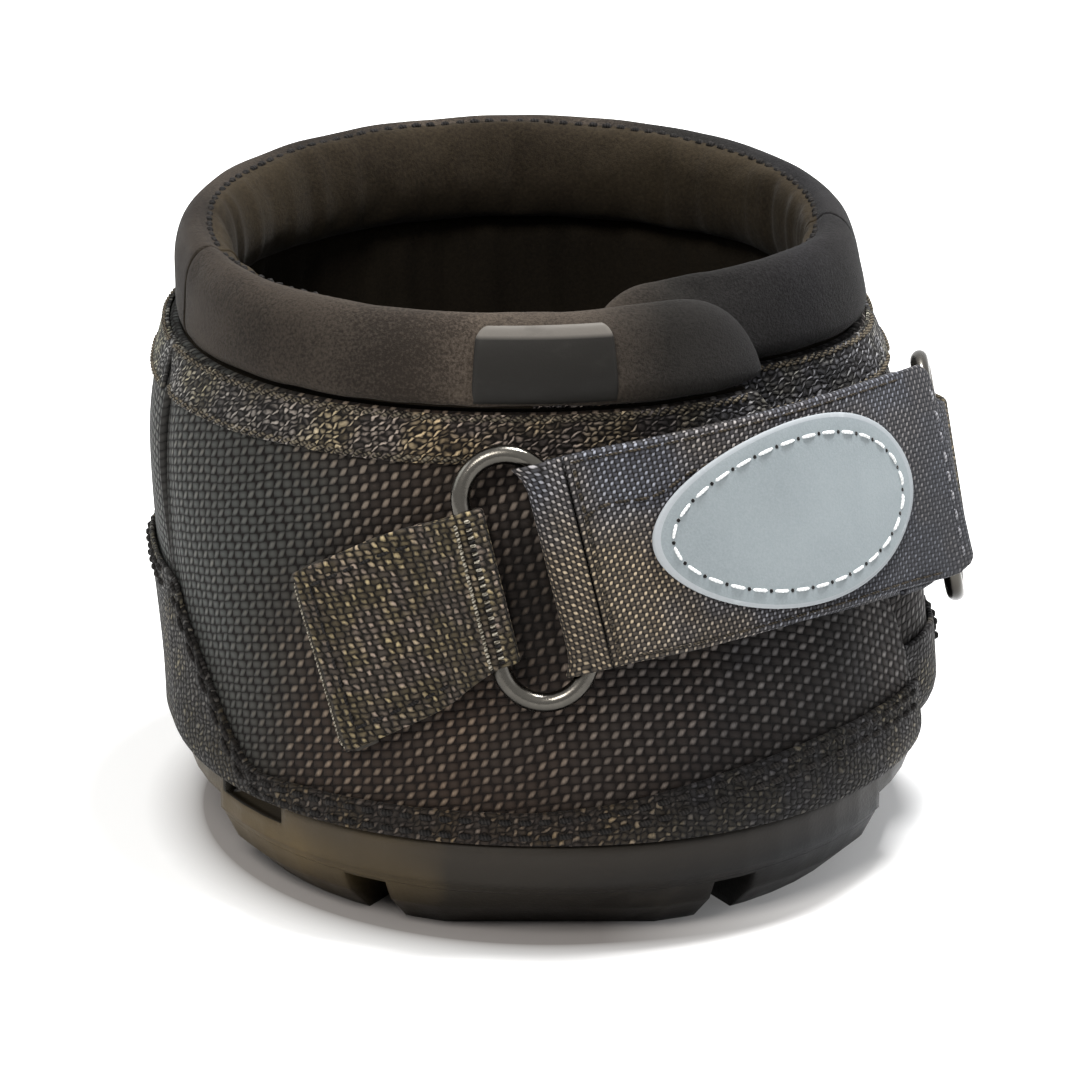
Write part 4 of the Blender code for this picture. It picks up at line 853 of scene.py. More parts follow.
def sole_material(name):
    """Dark moulded rubber with a painted warm reflection at the left, blue-grey at the right, and a parting
    line.

    It has a painted highlight on the band under the upper, and painted shade by the ground and in the drain
    slot.
    """
    n = Surface(name)
    fine = n.noise(1500.0, 3.0, 0.6)
    scuff = scuffs(n, 80.0)
    # Painted warm reflection at the left of the sole, the rubber's own dark tone further round.
    colour = n.ramp(n.zone(), SOLE_TONES_AND_REFLECTION)
    # Painted light: the band just under the upper is paler.
    colour = n.mix(n.level(n.tall, 0.0135, 0.0185) * 0.42, colour, (0.026, 0.022, 0.0175))
    # Painted shade low down by the ground.
    colour = n.mix(n.level(n.tall, 0.004, 0.011, 0.55, 0.0), colour, (0.0035, 0.003, 0.0025))
    colour = n.mix(n.level(scuff, 0.56, 0.78) * 0.3, colour, (0.035, 0.029, 0.022))
    # Painted shade inside the drain slot.
    turn = n.math("ARCTAN2", n.east, n.north * -1.0 + wall_section(RIM_TOP)[0].y)
    slot = n.math("LESS_THAN", abs(turn - DRAIN_MIDDLE), DRAIN_HALF)
    slot = slot * n.math("GREATER_THAN", n.tall, DRAIN_FLOOR)
    colour = n.mix(slot * 0.85, colour, (0.002, 0.0018, 0.0015))
    level = (n.tall - PARTING_HEIGHT) * 4000.0
    seam = n.most(1.0 - level * level, 0.0)
    rough = n.level(scuff, 0.3, 0.75, 0.30, 0.5) + fine * 0.05
    normal = n.bump(fine + scuff * 1.8 + seam * 3.0, 0.00006, n.round_edges(0.0024, 6))
    return n.finish(colour, rough, normal, Specular_IOR_Level=0.10)


def steel_material(name, colour, roughness):
    """Plated wire with faint drawing lines and dull patches, with painted shade where it faces down."""
    n = Surface(name)
    lines = n.noise(2500.0, 2.0)
    dull = n.noise(160.0, 4.0, 0.6)
    rough = n.level(dull, 0.35, 0.75, roughness - 0.05, roughness + 0.16) + lines * 0.05
    shade = n.mix(n.level(dull, 0.4, 0.8), colour, tuple(part * 0.6 for part in colour))
    # Painted shade on the faces that turn down.
    facing_up = n.split(n.add("ShaderNodeNewGeometry").outputs["Normal"])[2]
    shade = n.mix(n.level(facing_up, -0.6, 0.5, 1.0, 0.0), shade, tuple(part * 0.22 for part in colour))
    return n.finish(shade, rough, n.bump(lines + dull, 0.00002), Metallic=1.0)


def thread_material(name, low, high):
    """Twisted sewing thread."""
    n = Surface(name)
    u, v = n.sheet_axes()
    twist = n.math("SINE", u * 9000.0 + v * 6.28)
    colour = n.mix(n.level(twist * 0.25 + n.noise(700.0, 1.0), 0.3, 0.8), low, high)
    return n.finish(colour, 0.7, n.bump(twist, 0.00005), Specular_IOR_Level=0.1)


def label_material(name):
    """Pale coated fabric with a faint grain and a few scuffs."""
    n = Surface(name)
    grain = n.noise(2200.0, 3.0, 0.6)
    scuff = n.noise(260.0, 5.0, 0.7)
    colour = n.mix(n.level(n.noise(40.0), 0.3, 0.7), (0.165, 0.192, 0.204), (0.205, 0.235, 0.247))
    colour = n.mix(n.level(grain, 0.35, 0.75) * 0.35, colour, (0.28, 0.305, 0.315))
    colour = n.mix(n.level(scuff, 0.62, 0.8) * 0.3, colour, (0.17, 0.20, 0.21))
    return n.finish(colour, n.level(scuff, 0.3, 0.8, 0.48, 0.66), n.bump(grain, 0.00005),
                    Specular_IOR_Level=0.4)


# Meshes


def to_object(name, points, faces, uvs, *materials):
    """A mesh with faces turned outwards. uvs gives one place on the fabric for each point."""
    mesh = bpy.data.meshes.new(name)
    mesh.from_pydata([tuple(point) for point in points], [], faces)
    layer = mesh.uv_layers.new(name="UVMap")
    index = np.empty(len(mesh.loops), np.int32)
    mesh.loops.foreach_get("vertex_index", index)
    layer.data.foreach_set("uv", np.array(uvs, np.float32)[index].ravel())
    model = bmesh.new()
    model.from_mesh(mesh)
    bmesh.ops.recalc_face_normals(model, faces=model.faces)
    model.to_mesh(mesh)
    model.free()
    mesh.shade_smooth()
    for material in materials:
        mesh.materials.append(material)
    piece = bpy.data.objects.new(name, mesh)
    bpy.context.scene.collection.objects.link(piece)
    return piece


def sheet_piece(name, columns, rows, cell, material):
    """A closed sheet. For a column and a row, cell gives two faces' points and the place on the fabric."""
    grid = [[cell(column, row) for row in rows] for column in columns]
    points = [places[side] for side in (0, 1) for line in grid for places in line]
    uvs = [places[2] for _ in (0, 1) for line in grid for places in line]

    def corners(*places):
        return tuple((side * len(columns) + column) * len(rows) + row for side, column, row in places)

    faces = []
    last = len(rows) - 1
    for column in range(len(columns) - 1):
        after = column + 1
        for row in range(last):
            above = row + 1
            faces.append(corners((0, column, row), (0, after, row), (0, after, above), (0, column, above)))
            faces.append(corners((1, column, row), (1, column, above), (1, after, above), (1, after, row)))
        for row in (0, last):
            faces.append(corners((0, column, row), (1, column, row), (1, after, row), (0, after, row)))
    for row in range(last):
        for column in (0, len(columns) - 1):
            faces.append(corners((0, column, row), (0, column, row + 1), (1, column, row + 1),
                                 (1, column, row)))
    return to_object(name, points, faces, uvs, material)


def tube_faces(rings, sides, first=0):
    """Faces of a closed tube of rings of points: its two ends, then its sides ring by ring."""
    last = first + (rings - 1) * sides
    faces = [tuple(range(first, first + sides)), tuple(range(last, last + sides))]
    for low in range(first, last, sides):
        for side in range(sides):
            after = (side + 1) % sides
            faces.append((low + side, low + after, low + sides + after, low + sides + side))
    return faces


def turns(sides):
    return [FULL_TURN * side / sides for side in range(sides)]


def edged_shares(length, spans, thickness):
    """Shares along a side with extra ones by its ends, and the thickness share at each."""
    near = [(distance * thickness / length, thick) for distance, thick in EDGE_SHAPE]
    limit = near[-1][0] * 1.3
    middle = [(index / spans, 1.0) for index in range(1, spans) if limit < index / spans < 1.0 - limit]
    return near + middle + [(1.0 - share, thick) for share, thick in reversed(near)]


def end_shares(thickness):
    """Distances from a cut end and the thickness share at each."""
    return [(distance * thickness, thick) for distance, thick in EDGE_SHAPE]


def corner_cut(past):
    """How far a rounded corner stands back at a share of its length."""
    past = max(past, 0.0)
    return 1.0 - sqrt(max(1.0 - past * past, 0.0))


def hang(piece, body, *replaced):
    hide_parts(*replaced)
    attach(piece, body)


def sew(piece, side, *replaced):
    """Hangs fabric of the back on the boot. A flap's fabric only replaces its parts and keeps its place; the
    seam and the bend there are worked out but not used.
    """
    if side == "rear":
        hang(piece, "boot", *replaced)
        return
    seam, bend = (OUTER_HINGE, HINGE_ZONE) if side == "outer_flap" else (INNER_HINGE, -HINGE_ZONE)
    start = wall_point(seam, RING_HEIGHT, 0.0)
    end = wall_point(seam + bend, RING_HEIGHT, 0.0)
    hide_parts(*replaced)
    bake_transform(piece)


# Walls: the upper, its lining, the strips at its foot and top, and the tape between the flaps


def wall_relief(angle, height):
    """Slow bulges and creases of the whole upper, so that its layers move together."""
    turned = degrees(angle)
    rise = wall_rise(height)
    amount = drift((turned * 0.09, rise * 2.4, 1.7)) * 0.0007
    amount += drift((turned * 0.03, rise * 1.1, 7.3)) * 0.0009
    crease = exp(-((turned + 66.0 + 4.0 * rise) / 3.2) ** 2)
    amount -= 0.0011 * crease * smooth((rise - 0.15) / 0.3)
    return (amount - 0.0004) * smooth(rise / 0.12) * smooth((1.0 - rise) / 0.1)


def grain(around):
    """How far the yarns that run round the boot climb, because the fabric was cut flat."""
    bend = 1.0 if around < 0.0 else 3.5
    return 0.1 * around - bend * around * around if abs(around) < 0.11 else 0.0


def lining_folds(angle, height, sign):
    """Upright wrinkles on the lining's inner face."""
    if sign > 0.0:
        return 0.0
    turned = degrees(angle)
    rise = wall_rise(height)
    folds = sin(turned * 0.52 + 1.8 * sin(turned * 0.11)) + 0.6 * sin(turned * 1.13 + 2.0)
    folds += 0.8 * drift((turned * 0.2, rise * 3.0, 4.4))
    return 0.00055 * (folds - 1.2) * smooth(rise / 0.2) * smooth((1.0 - rise) / 0.06)


def no_folds(angle, height, sign):
    return 0.0


def no_dip(angle, height):
    return 0.0


DIPS = {"rear": no_dip, "outer_flap": no_dip, "inner_flap": inner_dip}


def wall_piece(name, side, place, low, thickness, span, tall, material, dip, folds=no_folds):
    """A fine sheet along the wall. place gives its angle and height at two shares."""
    columns = edged_shares(span, max(2, int(span / ROUND_STEP)), thickness)
    rows = edged_shares(tall, max(2, int(tall / HEIGHT_STEP)), thickness)

    def cell(column, row):
        share, column_thick = column
        if side == "rear" or side == ("outer_flap" if share < 0.5 else "inner_flap"):
            column_thick = 1.0
        angle, height = place(share, row[0])
        half = thickness / 2.0 * min(column_thick, row[1])
        move = wall_relief(angle, height) - dip(angle, height) + low + thickness / 2.0
        points = [level_point(angle, height, move + sign * half + folds(angle, height, sign))
                  for sign in (1.0, -1.0)]
        climb = grain(angle * LOW_HALF_WIDTH) if side == "outer_flap" else 0.0
        return *points, (angle * LOW_HALF_WIDTH, height - climb)

    return sheet_piece(name, columns, rows, cell, material)


def arc(start, end):
    """Rough length round the wall between two angles."""
    return abs(end - start) * LOW_HALF_WIDTH


def side_ends(side, gap):
    """The angles where one side of the boot ends, with a gap to each hinge seam."""
    start, end = SIDE_ENDS[side]
    return start if side == "inner_flap" else start + gap, end if side == "outer_flap" else end - gap


def side_place(side, low):
    """Places on one side of the boot between the height low and the top of the wall."""

    def place(share, rise):
        height = blend(low, WALL_TOP, rise)
        start, end = side_ends(side, seam_angle(height))
        return blend(start, flap_edge(height) if side == "outer_flap" else end, share), height

    return place


def foot_place(side):
    """Places on the strip along the foot of one side of the boot."""
    start, end = side_ends(side, SEAM_GAP / LOW_HALF_WIDTH / 2.0)

    def place(share, rise):
        angle = blend(start, end, share)
        top = {"rear": rear_rand_top, "outer_flap": hem_top, "inner_flap": inner_hem_top}[side](angle)
        height = blend(WALL_LOW, top, rise)
        return blend(start, flap_edge(height), share) if side == "outer_flap" else angle, height

    return place


def make_walls(fabric, lining, strip, band):
    spans = {side: arc(*ends) for side, ends in SIDE_ENDS.items()}
    tall = WALL_TOP - WALL_LOW
    layers = []
    for side, span in spans.items():
        node = "rear_shell" if side == "rear" else side
        place = side_place(side, WALL_LOW)
        layers.append((node, side, place, -FABRIC_THICKNESS, FABRIC_THICKNESS, span, tall, fabric))
        layers.append((side + "_lining", side, place, LINING_OFFSET, LINING_THICKNESS, span, tall, lining))
    spans["inner_flap"] = arc(0.0, INNER_HINGE)
    for node, side in (("outer_flap_hem", "outer_flap"), ("rear_rand", "rear"),
                       ("inner_flap_hem", "inner_flap")):
        layers.append((node, side, foot_place(side), PIECE_GAP, RAND_THICKNESS, spans[side], RAND_TALL,
                       strip))
    spans["outer_flap"] = arc(OUTER_HINGE, BAND_END)
    for side, span in spans.items():
        layers.append((side + "_top_band", side, side_place(side, BAND_LOW), PIECE_GAP, BAND_THICKNESS, span,
                       BAND_HEIGHT, band))
    for node, side, *rule in layers:
        folds = lining_folds if node.endswith("lining") else no_folds
        sew(wall_piece(node + "_cloth", side, *rule, DIPS[side], folds), side, node)


def make_flap_panels(hook_material, loop_material):
    bottom = RIM_TOP + INNER_HEM_HEIGHT + PANEL_CLEARANCE

    def place(share, rise):
        return blend(PANEL_START, PANEL_END, share), blend(bottom, PANEL_HIGH, rise)

    under = LINING_OFFSET - PIECE_GAP - PANEL_THICKNESS
    for name, body, low, material, dip in (
            ("flap_hook_panel", "inner_flap", PIECE_GAP, hook_material, inner_dip),
            ("flap_loop_panel", "outer_flap", under, loop_material, no_dip)):
        piece = wall_piece(name + "_tape", None, place, low, PANEL_THICKNESS, arc(PANEL_START, PANEL_END),
                           PANEL_HIGH - bottom, material, dip)
        hang(piece, body, name)


# Padded collar


def collar_shape(side, angle):
    """Depth of the roll's middle, half its thickness, and its share of the full section by a free tip."""
    under = under_share(angle, WALL_TOP) if side == "inner_flap" else 0.0
    depth = blend(COLLAR_HALF_THICKNESS, UNDER_MIDDLE, under)
    half_thickness = blend(COLLAR_HALF_THICKNESS, INNER_COLLAR_HALF_THICKNESS, under)
    tip = 1.0
    if side in COLLAR_TIPS:
        share = 1.0 - min(abs(angle - COLLAR_TIPS[side]) / TIP_ANGLE, 1.0)
        tip = max(sqrt(max(1.0 - share * share, 0.0)), COLLAR_END_SHARE)
    return depth, half_thickness, tip


def collar_surface(side, angle, turn):
    """The padded roll with its sewn crest, its full foot, slow wrinkles and folds on the inside."""
    depth, half_thickness, tip = collar_shape(side, angle)
    crest = exp(-((turn - CREST_TURN) / 0.16) ** 2)
    turned = degrees(angle)
    soft = drift((turned * 0.07, cos(turn), sin(turn) + 3.1)) * 0.00035
    soft += drift((turned * 0.21, cos(turn) * 1.5, sin(turn) * 1.5)) * 0.0001
    pucker = 0.00012 * sin(angle * LOW_HALF_WIDTH / 0.0032 * FULL_TURN)
    sunk = (0.0014 + pucker) * crest * tip
    inside = smooth((turn - CREST_TURN) / 0.5) * smooth((LINING_END_TURN - turn) / 0.6)
    folds = sin(turned * 0.62 + 1.6 * sin(turned * 0.17)) + 0.7 * sin(turned * 1.37 + 1.0)
    soft += 0.00042 * (folds - 1.0) * inside
    low = atan2(sin(turn + FOOT_TURN), cos(turn + FOOT_TURN))
    soft += FOOT_BULGE * exp(-(low / 0.42) ** 2)
    return collar_profile(angle, depth, half_thickness, tip, turn, soft * tip - sunk)


def collar_angles(side, start, end):
    """Angles of the rings: even ones, closer ones round a free tip, and one just inside each sewn end."""
    columns = int(arc(start, end) / COLLAR_STEP)
    angles = [blend(start, end, index / columns) for index in range(columns + 1)]
    if side in COLLAR_TIPS:
        tip = COLLAR_TIPS[side]
        inward = TIP_ANGLE if side == "inner_flap" else -TIP_ANGLE
        angles = [angle for angle in angles if abs(angle - tip) > TIP_ANGLE]
        angles += [tip + inward * (1.0 - sin(pi / 2.0 * index / 10)) for index in range(11)]
        angles.sort()
    crisp = CRISP_LENGTH / LOW_HALF_WIDTH
    if side != "inner_flap":
        angles.insert(1, start + crisp)
    if side != "outer_flap":
        angles.insert(-1, end - crisp)
    return [angles[0]] + angles + [angles[-1]]


def collar_piece(name, side, start, end, materials):
    angles = collar_angles(side, start, end)
    rings = [[collar_surface(side, angle, turn) for turn in turns(COLLAR_SIDES)] for angle in angles[1:-1]]
    caps = []
    for ring in (rings[0], rings[-1]):
        centre = sum(ring, Vector()) / len(ring)
        caps.append([point.lerp(centre, 0.45) for point in ring])
    rings = [caps[0]] + rings + [caps[1]]
    points = [point for ring in rings for point in ring]
    uvs = [(angle * LOW_HALF_WIDTH, place / COLLAR_SIDES * COLLAR_GIRTH)
           for angle in angles for place in range(COLLAR_SIDES)]
    piece = to_object(name, points, tube_faces(len(rings), COLLAR_SIDES), uvs, *materials)
    for polygon in piece.data.polygons[2:]:
        if CREST_SIDE <= (polygon.index - 2) % COLLAR_SIDES < LINING_END_SIDE:
            polygon.material_index = 1
    fill_roll(piece, len(rings))
    finer = piece.modifiers.new("finer", "SUBSURF")
    finer.levels = finer.render_levels = 1
    finer.boundary_smooth = "PRESERVE_CORNERS"
    shaped = piece.evaluated_get(bpy.context.evaluated_depsgraph_get())
    mesh = bpy.data.meshes.new_from_object(shaped)
    piece.modifiers.clear()
    piece.data = mesh
    return piece


def fill_roll(piece, ring_count):
    """Blows the roll up as cloth that is held at its sewn crest, at its foot and at its ends."""
    start = [vertex.co.copy() for vertex in piece.data.vertices]
    held = [index for index in range(len(start)) if index % COLLAR_SIDES in (CREST_SIDE, FOOT_SIDE)
            or index // COLLAR_SIDES in (0, 1, 2) or index // COLLAR_SIDES >= ring_count - 3]
    piece.vertex_groups.new(name="sewn").add(held, 1.0, "REPLACE")
    cloth = piece.modifiers.new("padding", "CLOTH")
    for setting, value in CLOTH_SETTINGS.items():
        setattr(cloth.settings, setting, value)
    cloth.settings.effector_weights.gravity = 0.0
    cloth.collision_settings.use_collision = False
    cloth.point_cache.frame_end = CLOTH_FRAMES
    scene = bpy.context.scene
    for step in range(1, CLOTH_FRAMES + 1):
        scene.frame_set(step)
    shaped = piece.evaluated_get(bpy.context.evaluated_depsgraph_get())
    moves = [vertex.co - before for vertex, before in zip(shaped.data.vertices, start)]
    piece.modifiers.remove(cloth)
    scene.frame_set(1)
    for vertex, before, move in zip(piece.data.vertices, start, moves):
        vertex.co = before + move * (CLOTH_LIMIT / max(move.length, CLOTH_LIMIT))
    piece.vertex_groups.clear()


def make_collars(materials, thread):
    seam = seam_angle(WALL_TOP)
    for side, start, end in (("rear", REAR_START + seam, REAR_END - seam),
                             ("outer_flap", OUTER_HINGE + seam, COLLAR_TIPS["outer_flap"]),
                             ("inner_flap", COLLAR_TIPS["inner_flap"], INNER_HINGE - seam)):
        name = side.split("_")[0] + "_collar"
        piece = collar_piece(name + "_roll", side, start, end, materials)
        sew(piece, side, name)

        def crest_at(length, side=side, start=start):
            angle = start + length / LOW_HALF_WIDTH
            return collar_surface(side, angle, CREST_TURN), wall_axes(angle, RING_HEIGHT)[1]

        first = 0.012 if side == "inner_flap" else 0.002
        last = arc(start, end) - (0.022 if side == "outer_flap" else 0.002)
        sew(stitch_row(name + "_stitches", "crest", crest_at, first, last, thread), side)


def make_name_tab(material):
    tall = (NAME_TAB_HIGH_TURN - NAME_TAB_LOW_TURN) * collar_half_height(NAME_TAB_MIDDLE)
    reach = (wall_skin(NAME_TAB_MIDDLE, WALL_TOP) - wall_section(WALL_TOP)[0]).length
    low = PIECE_GAP + NAME_TAB_SEAT

    def cell(column, row):
        (share, column_thick), (rise, row_thick) = column, row
        half = blend(NAME_TAB_LOW_HALF_WIDTH, NAME_TAB_TOP_HALF_WIDTH, rise)
        half -= NAME_TAB_CORNER * corner_cut((rise * tall - tall + NAME_TAB_CORNER) / NAME_TAB_CORNER)
        angle = NAME_TAB_MIDDLE + half * blend(-1.0, 1.0, share) / reach
        high = low + NAME_TAB_THICKNESS * blend(NAME_TAB_EDGE, 1.0, min(column_thick, row_thick))
        turn = blend(NAME_TAB_LOW_TURN, NAME_TAB_HIGH_TURN, rise)
        points = [collar_profile(angle, COLLAR_HALF_THICKNESS, COLLAR_HALF_THICKNESS, 1.0, turn, proud)
                  for proud in (high, low)]
        return *points, (share * 2.0 * NAME_TAB_TOP_HALF_WIDTH, rise * tall)

    columns = edged_shares(2.0 * NAME_TAB_TOP_HALF_WIDTH, NAME_TAB_SPANS[0], NAME_TAB_THICKNESS)
    rows = edged_shares(tall, NAME_TAB_SPANS[1], NAME_TAB_THICKNESS)
    hang(sheet_piece("name_tab_rubber", columns, rows, cell, material), "outer_flap", "name_tab")


# Tabs and strap

ACROSS = [(2.0 * share - 1.0, thick)
          for share, thick in edged_shares(2.0 * STRAP_HALF_WIDTH, ACROSS_SPANS, STRAP_THICKNESS)]


def webbing_piece(node, kind, body, stations, thickness, material):
    """Webbing along stations: each gives its place and inner direction at a share across it."""
    middles = [webbing_point(*at(0.0)[:3]) for at, _ in stations]
    steps = [(second - first).length for first, second in zip(middles, middles[1:])]
    travelled = np.cumsum([0.0] + steps)

    def cell(column, row):
        at, end_thick = stations[column]
        length, across, lift, turn_along, turn_out = at(row[0])
        half = thickness / 2.0 * min(row[1], end_thick)
        points = [webbing_point(length + sign * turn_along * half, across, lift + sign * turn_out * half)
                  for sign in (1.0, -1.0)]
        return *points, (travelled[column], across)

    hang(sheet_piece(node + "_" + kind, range(len(stations)), ACROSS, cell, material), body, node)


def fold_stations(leg, across_at, radius, sign, first_turn):
    """Stations round a ring's leg, from one side of the webbing to the other."""

    def station(turn):
        def at(share):
            across = across_at(leg, share)
            pull = ring_end_pull(across)
            along, out = sign * cos(turn), sin(turn)
            centre = leg + sign * pull * FOLD_SHIFT_SHARE
            reach = radius + pull * (1.0 - FOLD_SHIFT_SHARE)
            return centre + along * reach, across, out * radius, -along, -out
        return at

    steps = range(1, FOLD_STEPS)
    return [(station(blend(first_turn, -first_turn, step / FOLD_STEPS)), 1.0) for step in steps]


def run_stations(lengths, across_at, lift_at, inward, skew_at=lambda length: 0.0):
    """Stations along the boot. The rules give the place across, the lift and the skew at a length."""

    def station(length):
        lift, skew = lift_at(length), skew_at(length)
        return lambda share: (length - skew * share, across_at(length, share), lift, 0.0, inward)

    return [(station(length), thick) for length, thick in lengths]


def tab_lift(distance, side):
    """Lift of a tab's lower or upper leaf, side -1 or 1, at a distance from its ring's leg."""
    sewn = PIECE_GAP + TAB_THICKNESS / 2.0 - RING_STANDOFF
    if side > 0.0:
        sewn += TAB_THICKNESS + PIECE_GAP
    return blend(side * TAB_FOLD_RADIUS, sewn, smooth(distance / TAB_FALL))


def tab_width(distance):
    return blend(TAB_FOLD_HALF_WIDTH, TAB_HALF_WIDTH, smooth(distance / TAB_FALL))


def make_tab(name, leg, sign, span, slope, body, material):
    near = end_shares(TAB_THICKNESS)
    count = int(span / STRAP_STEP)
    distances = [(span - distance, thick) for distance, thick in near]
    distances += [(span * (1.0 - index / count), 1.0) for index in range(1, count + 1)
                  if span * index / count > near[-1][0] * 1.3]
    lengths = [(leg - sign * distance, thick) for distance, thick in distances]

    def across_at(length, share):
        distance = sign * (leg - length)
        return -slope * distance + share * tab_width(distance)

    def lift_at(side):
        return lambda length: tab_lift(sign * (leg - length), side)

    leaves = [run_stations(lengths, across_at, lift_at(side), -side) for side in (-1.0, 1.0)]
    fold = fold_stations(leg, across_at, TAB_FOLD_RADIUS, sign, -pi / 2.0)
    webbing_piece(name, "webbing", body, leaves[0] + fold + leaves[1][::-1], TAB_THICKNESS, material)


def strap_across(length, share):
    """The strap's place across the boot's path. By the right ring it is gathered between the ring's ends."""
    near = smooth((length - RIGHT_FOLD + GATHER_LENGTH) / GATHER_LENGTH)
    return STRAP_LIFT + share * blend(1.0, GATHER_SHARE, near) * STRAP_HALF_WIDTH


def strap_lengths(start, end, ends=(True, True)):
    """Lengths between two ends with extra ones by each cut end, and the thickness share at each."""
    close = end_shares(STRAP_THICKNESS)
    limit = close[-1][0] * 1.3
    count = max(2, int((end - start) / STRAP_STEP))
    lengths = [(blend(start, end, index / count), 1.0) for index in range(count + 1)]
    if ends[0]:
        lengths = [pair for pair in lengths if pair[0] > start + limit]
        lengths = [(start + distance, thick) for distance, thick in close] + lengths
    if ends[1]:
        lengths = [pair for pair in lengths if pair[0] < end - limit]
        lengths += [(end - distance, thick) for distance, thick in reversed(close)]
    return lengths


def make_strap_base(material):
    """The strap's lower run: round the left ring, along the boot, round the right ring and back."""
    radius, quarter = STRAP_FOLD_RADIUS, pi / 2.0
    sewn = -radius + STRAP_THICKNESS + PIECE_GAP
    hinge = strap_lengths(LEFT_FOLD, LEFT_FOLD + STRAP_HINGE_REACH - PIECE_GAP, (False, True))[::-1]
    back = strap_lengths(RETURN_START, RIGHT_FOLD, (True, False))[::-1]

    def back_lift(length):
        return blend(radius, sewn, smooth((RIGHT_FOLD - length) / RETURN_FALL))

    stations = run_stations(hinge, strap_across, lambda length: radius, -1.0)
    stations += fold_stations(LEFT_FOLD, strap_across, radius, -1.0, quarter)
    stations += run_stations(strap_lengths(LEFT_FOLD, RIGHT_FOLD, (False, False)), strap_across,
                             lambda length: -radius, 1.0)
    stations += fold_stations(RIGHT_FOLD, strap_across, radius, 1.0, -quarter)
    stations += run_stations(back, strap_across, back_lift, -1.0)
    webbing_piece("strap_base", "webbing", "strap_base", stations, STRAP_THICKNESS, material)


def tail_half(length):
    share = smooth((length - STRAP_TAIL_START) / (STRAP_TAIL_END - STRAP_TAIL_START))
    cut = corner_cut((length - STRAP_TAIL_END + STRAP_CORNER_ROUND) / STRAP_CORNER_ROUND)
    return blend(STRAP_HALF_WIDTH, STRAP_END_HALF_WIDTH, share) - STRAP_CORNER_ROUND * cut


def tail_skew(length):
    return STRAP_END_SKEW * smooth(1.0 - (STRAP_TAIL_END - length) / STRAP_END_RISE_LENGTH)


def make_strap_tail(material):
    lengths = strap_lengths(STRAP_TAIL_START, STRAP_TAIL_END)
    stations = run_stations(lengths, lambda length, share: tail_middle(length) + share * tail_half(length),
                            tail_lift, -1.0, tail_skew)
    webbing_piece("strap_tail", "webbing", "strap_tail", stations, STRAP_THICKNESS, material)


def make_strap_patches(loop_material, hook_material):
    half = STRAP_HALF_WIDTH - PATCH_MARGIN
    face = STRAP_FOLD_RADIUS - STRAP_THICKNESS / 2.0 - PIECE_GAP
    lengths = strap_lengths(STRAP_TAIL_START + PATCH_END_GAP, RETURN_START - PATCH_END_GAP)
    for node, body, side, thickness, material in (
            ("strap_loop_patch", "strap_base", -1.0, LOOP_PATCH_THICKNESS, loop_material),
            ("strap_hook_patch", "strap_tail", 1.0, HOOK_PATCH_THICKNESS, hook_material)):
        lift = side * (face - thickness / 2.0)
        stations = run_stations(lengths, lambda length, share: STRAP_LIFT + share * half,
                                lambda length, lift=lift: lift, 1.0)
        webbing_piece(node, "tape", body, stations, thickness, material)


# Label and rings


def label_outline(turn, inset=0.0):
    """Distance along and across the strap from the label's middle: an egg, fuller to the right."""
    east, north = cos(turn), sin(turn)
    half_width = LABEL_HALF_WIDTH * (1.0 + 0.055 * east - 0.04 * east * east)
    return (LABEL_HALF_LENGTH - inset) * east, (half_width - inset) * north


def label_place(along, across, lift):
    length = LABEL_CENTRE + along
    return length, tail_middle(length) + across, tail_lift(length) + STRAP_THICKNESS / 2.0 + PIECE_GAP + lift


def make_label(material, edge_material):
    """A bare oval patch with a cut edge."""
    outline = [label_outline(turn) for turn in turns(LABEL_SIDES)]
    rings = [[(along * share, across * share, LABEL_THICKNESS * high) for along, across in outline]
             for share, high in LABEL_RINGS]
    points = [webbing_point(*label_place(*place)) for ring in rings for place in ring]
    uvs = [place[:2] for ring in rings for place in ring]
    faces = tube_faces(len(rings), LABEL_SIDES)
    piece = to_object("label_patch_cover", points, faces, uvs, material, edge_material)
    for polygon in piece.data.polygons[2:]:
        if (polygon.index - 2) // LABEL_SIDES in LABEL_EDGE_RINGS:
            polygon.material_index = 1
    hang(piece, "strap_tail", "label_patch")


def make_ring(name, place, material):
    """A wire ring with straight legs and rounded ends."""
    centre, along, upright, out = ring_axes(place)
    straight = RING_HALF_HEIGHT - RING_HALF_WIDTH
    outline = []
    for sign in (1.0, -1.0):
        for step in range(RING_END_STEPS + 1):
            turn = pi * step / RING_END_STEPS
            outward = Vector((sign * cos(turn), sign * sin(turn)))
            outline.append((outward * RING_HALF_WIDTH + Vector((0.0, sign * straight)), outward))
        for step in range(1, RING_LEG_STEPS):
            drop = blend(straight, -straight, step / RING_LEG_STEPS)
            outline.append((Vector((-sign * RING_HALF_WIDTH, sign * drop)), Vector((-sign, 0.0))))
    points, uvs, faces = [], [], []
    for index, (middle, outward) in enumerate(outline):
        low, high = index * RING_SIDES, (index + 1) % len(outline) * RING_SIDES
        for side, turn in enumerate(turns(RING_SIDES)):
            flat = middle + outward * (WIRE_RADIUS * cos(turn))
            points.append(centre + along * flat.x + upright * flat.y + out * (WIRE_RADIUS * sin(turn)))
            uvs.append((index * 0.002, side / RING_SIDES * 0.012))
            after = (side + 1) % RING_SIDES
            faces.append((low + side, low + after, high + after, high + side))
    hang(to_object(name + "_wire", points, faces, uvs, material), name, name)


# Stitches


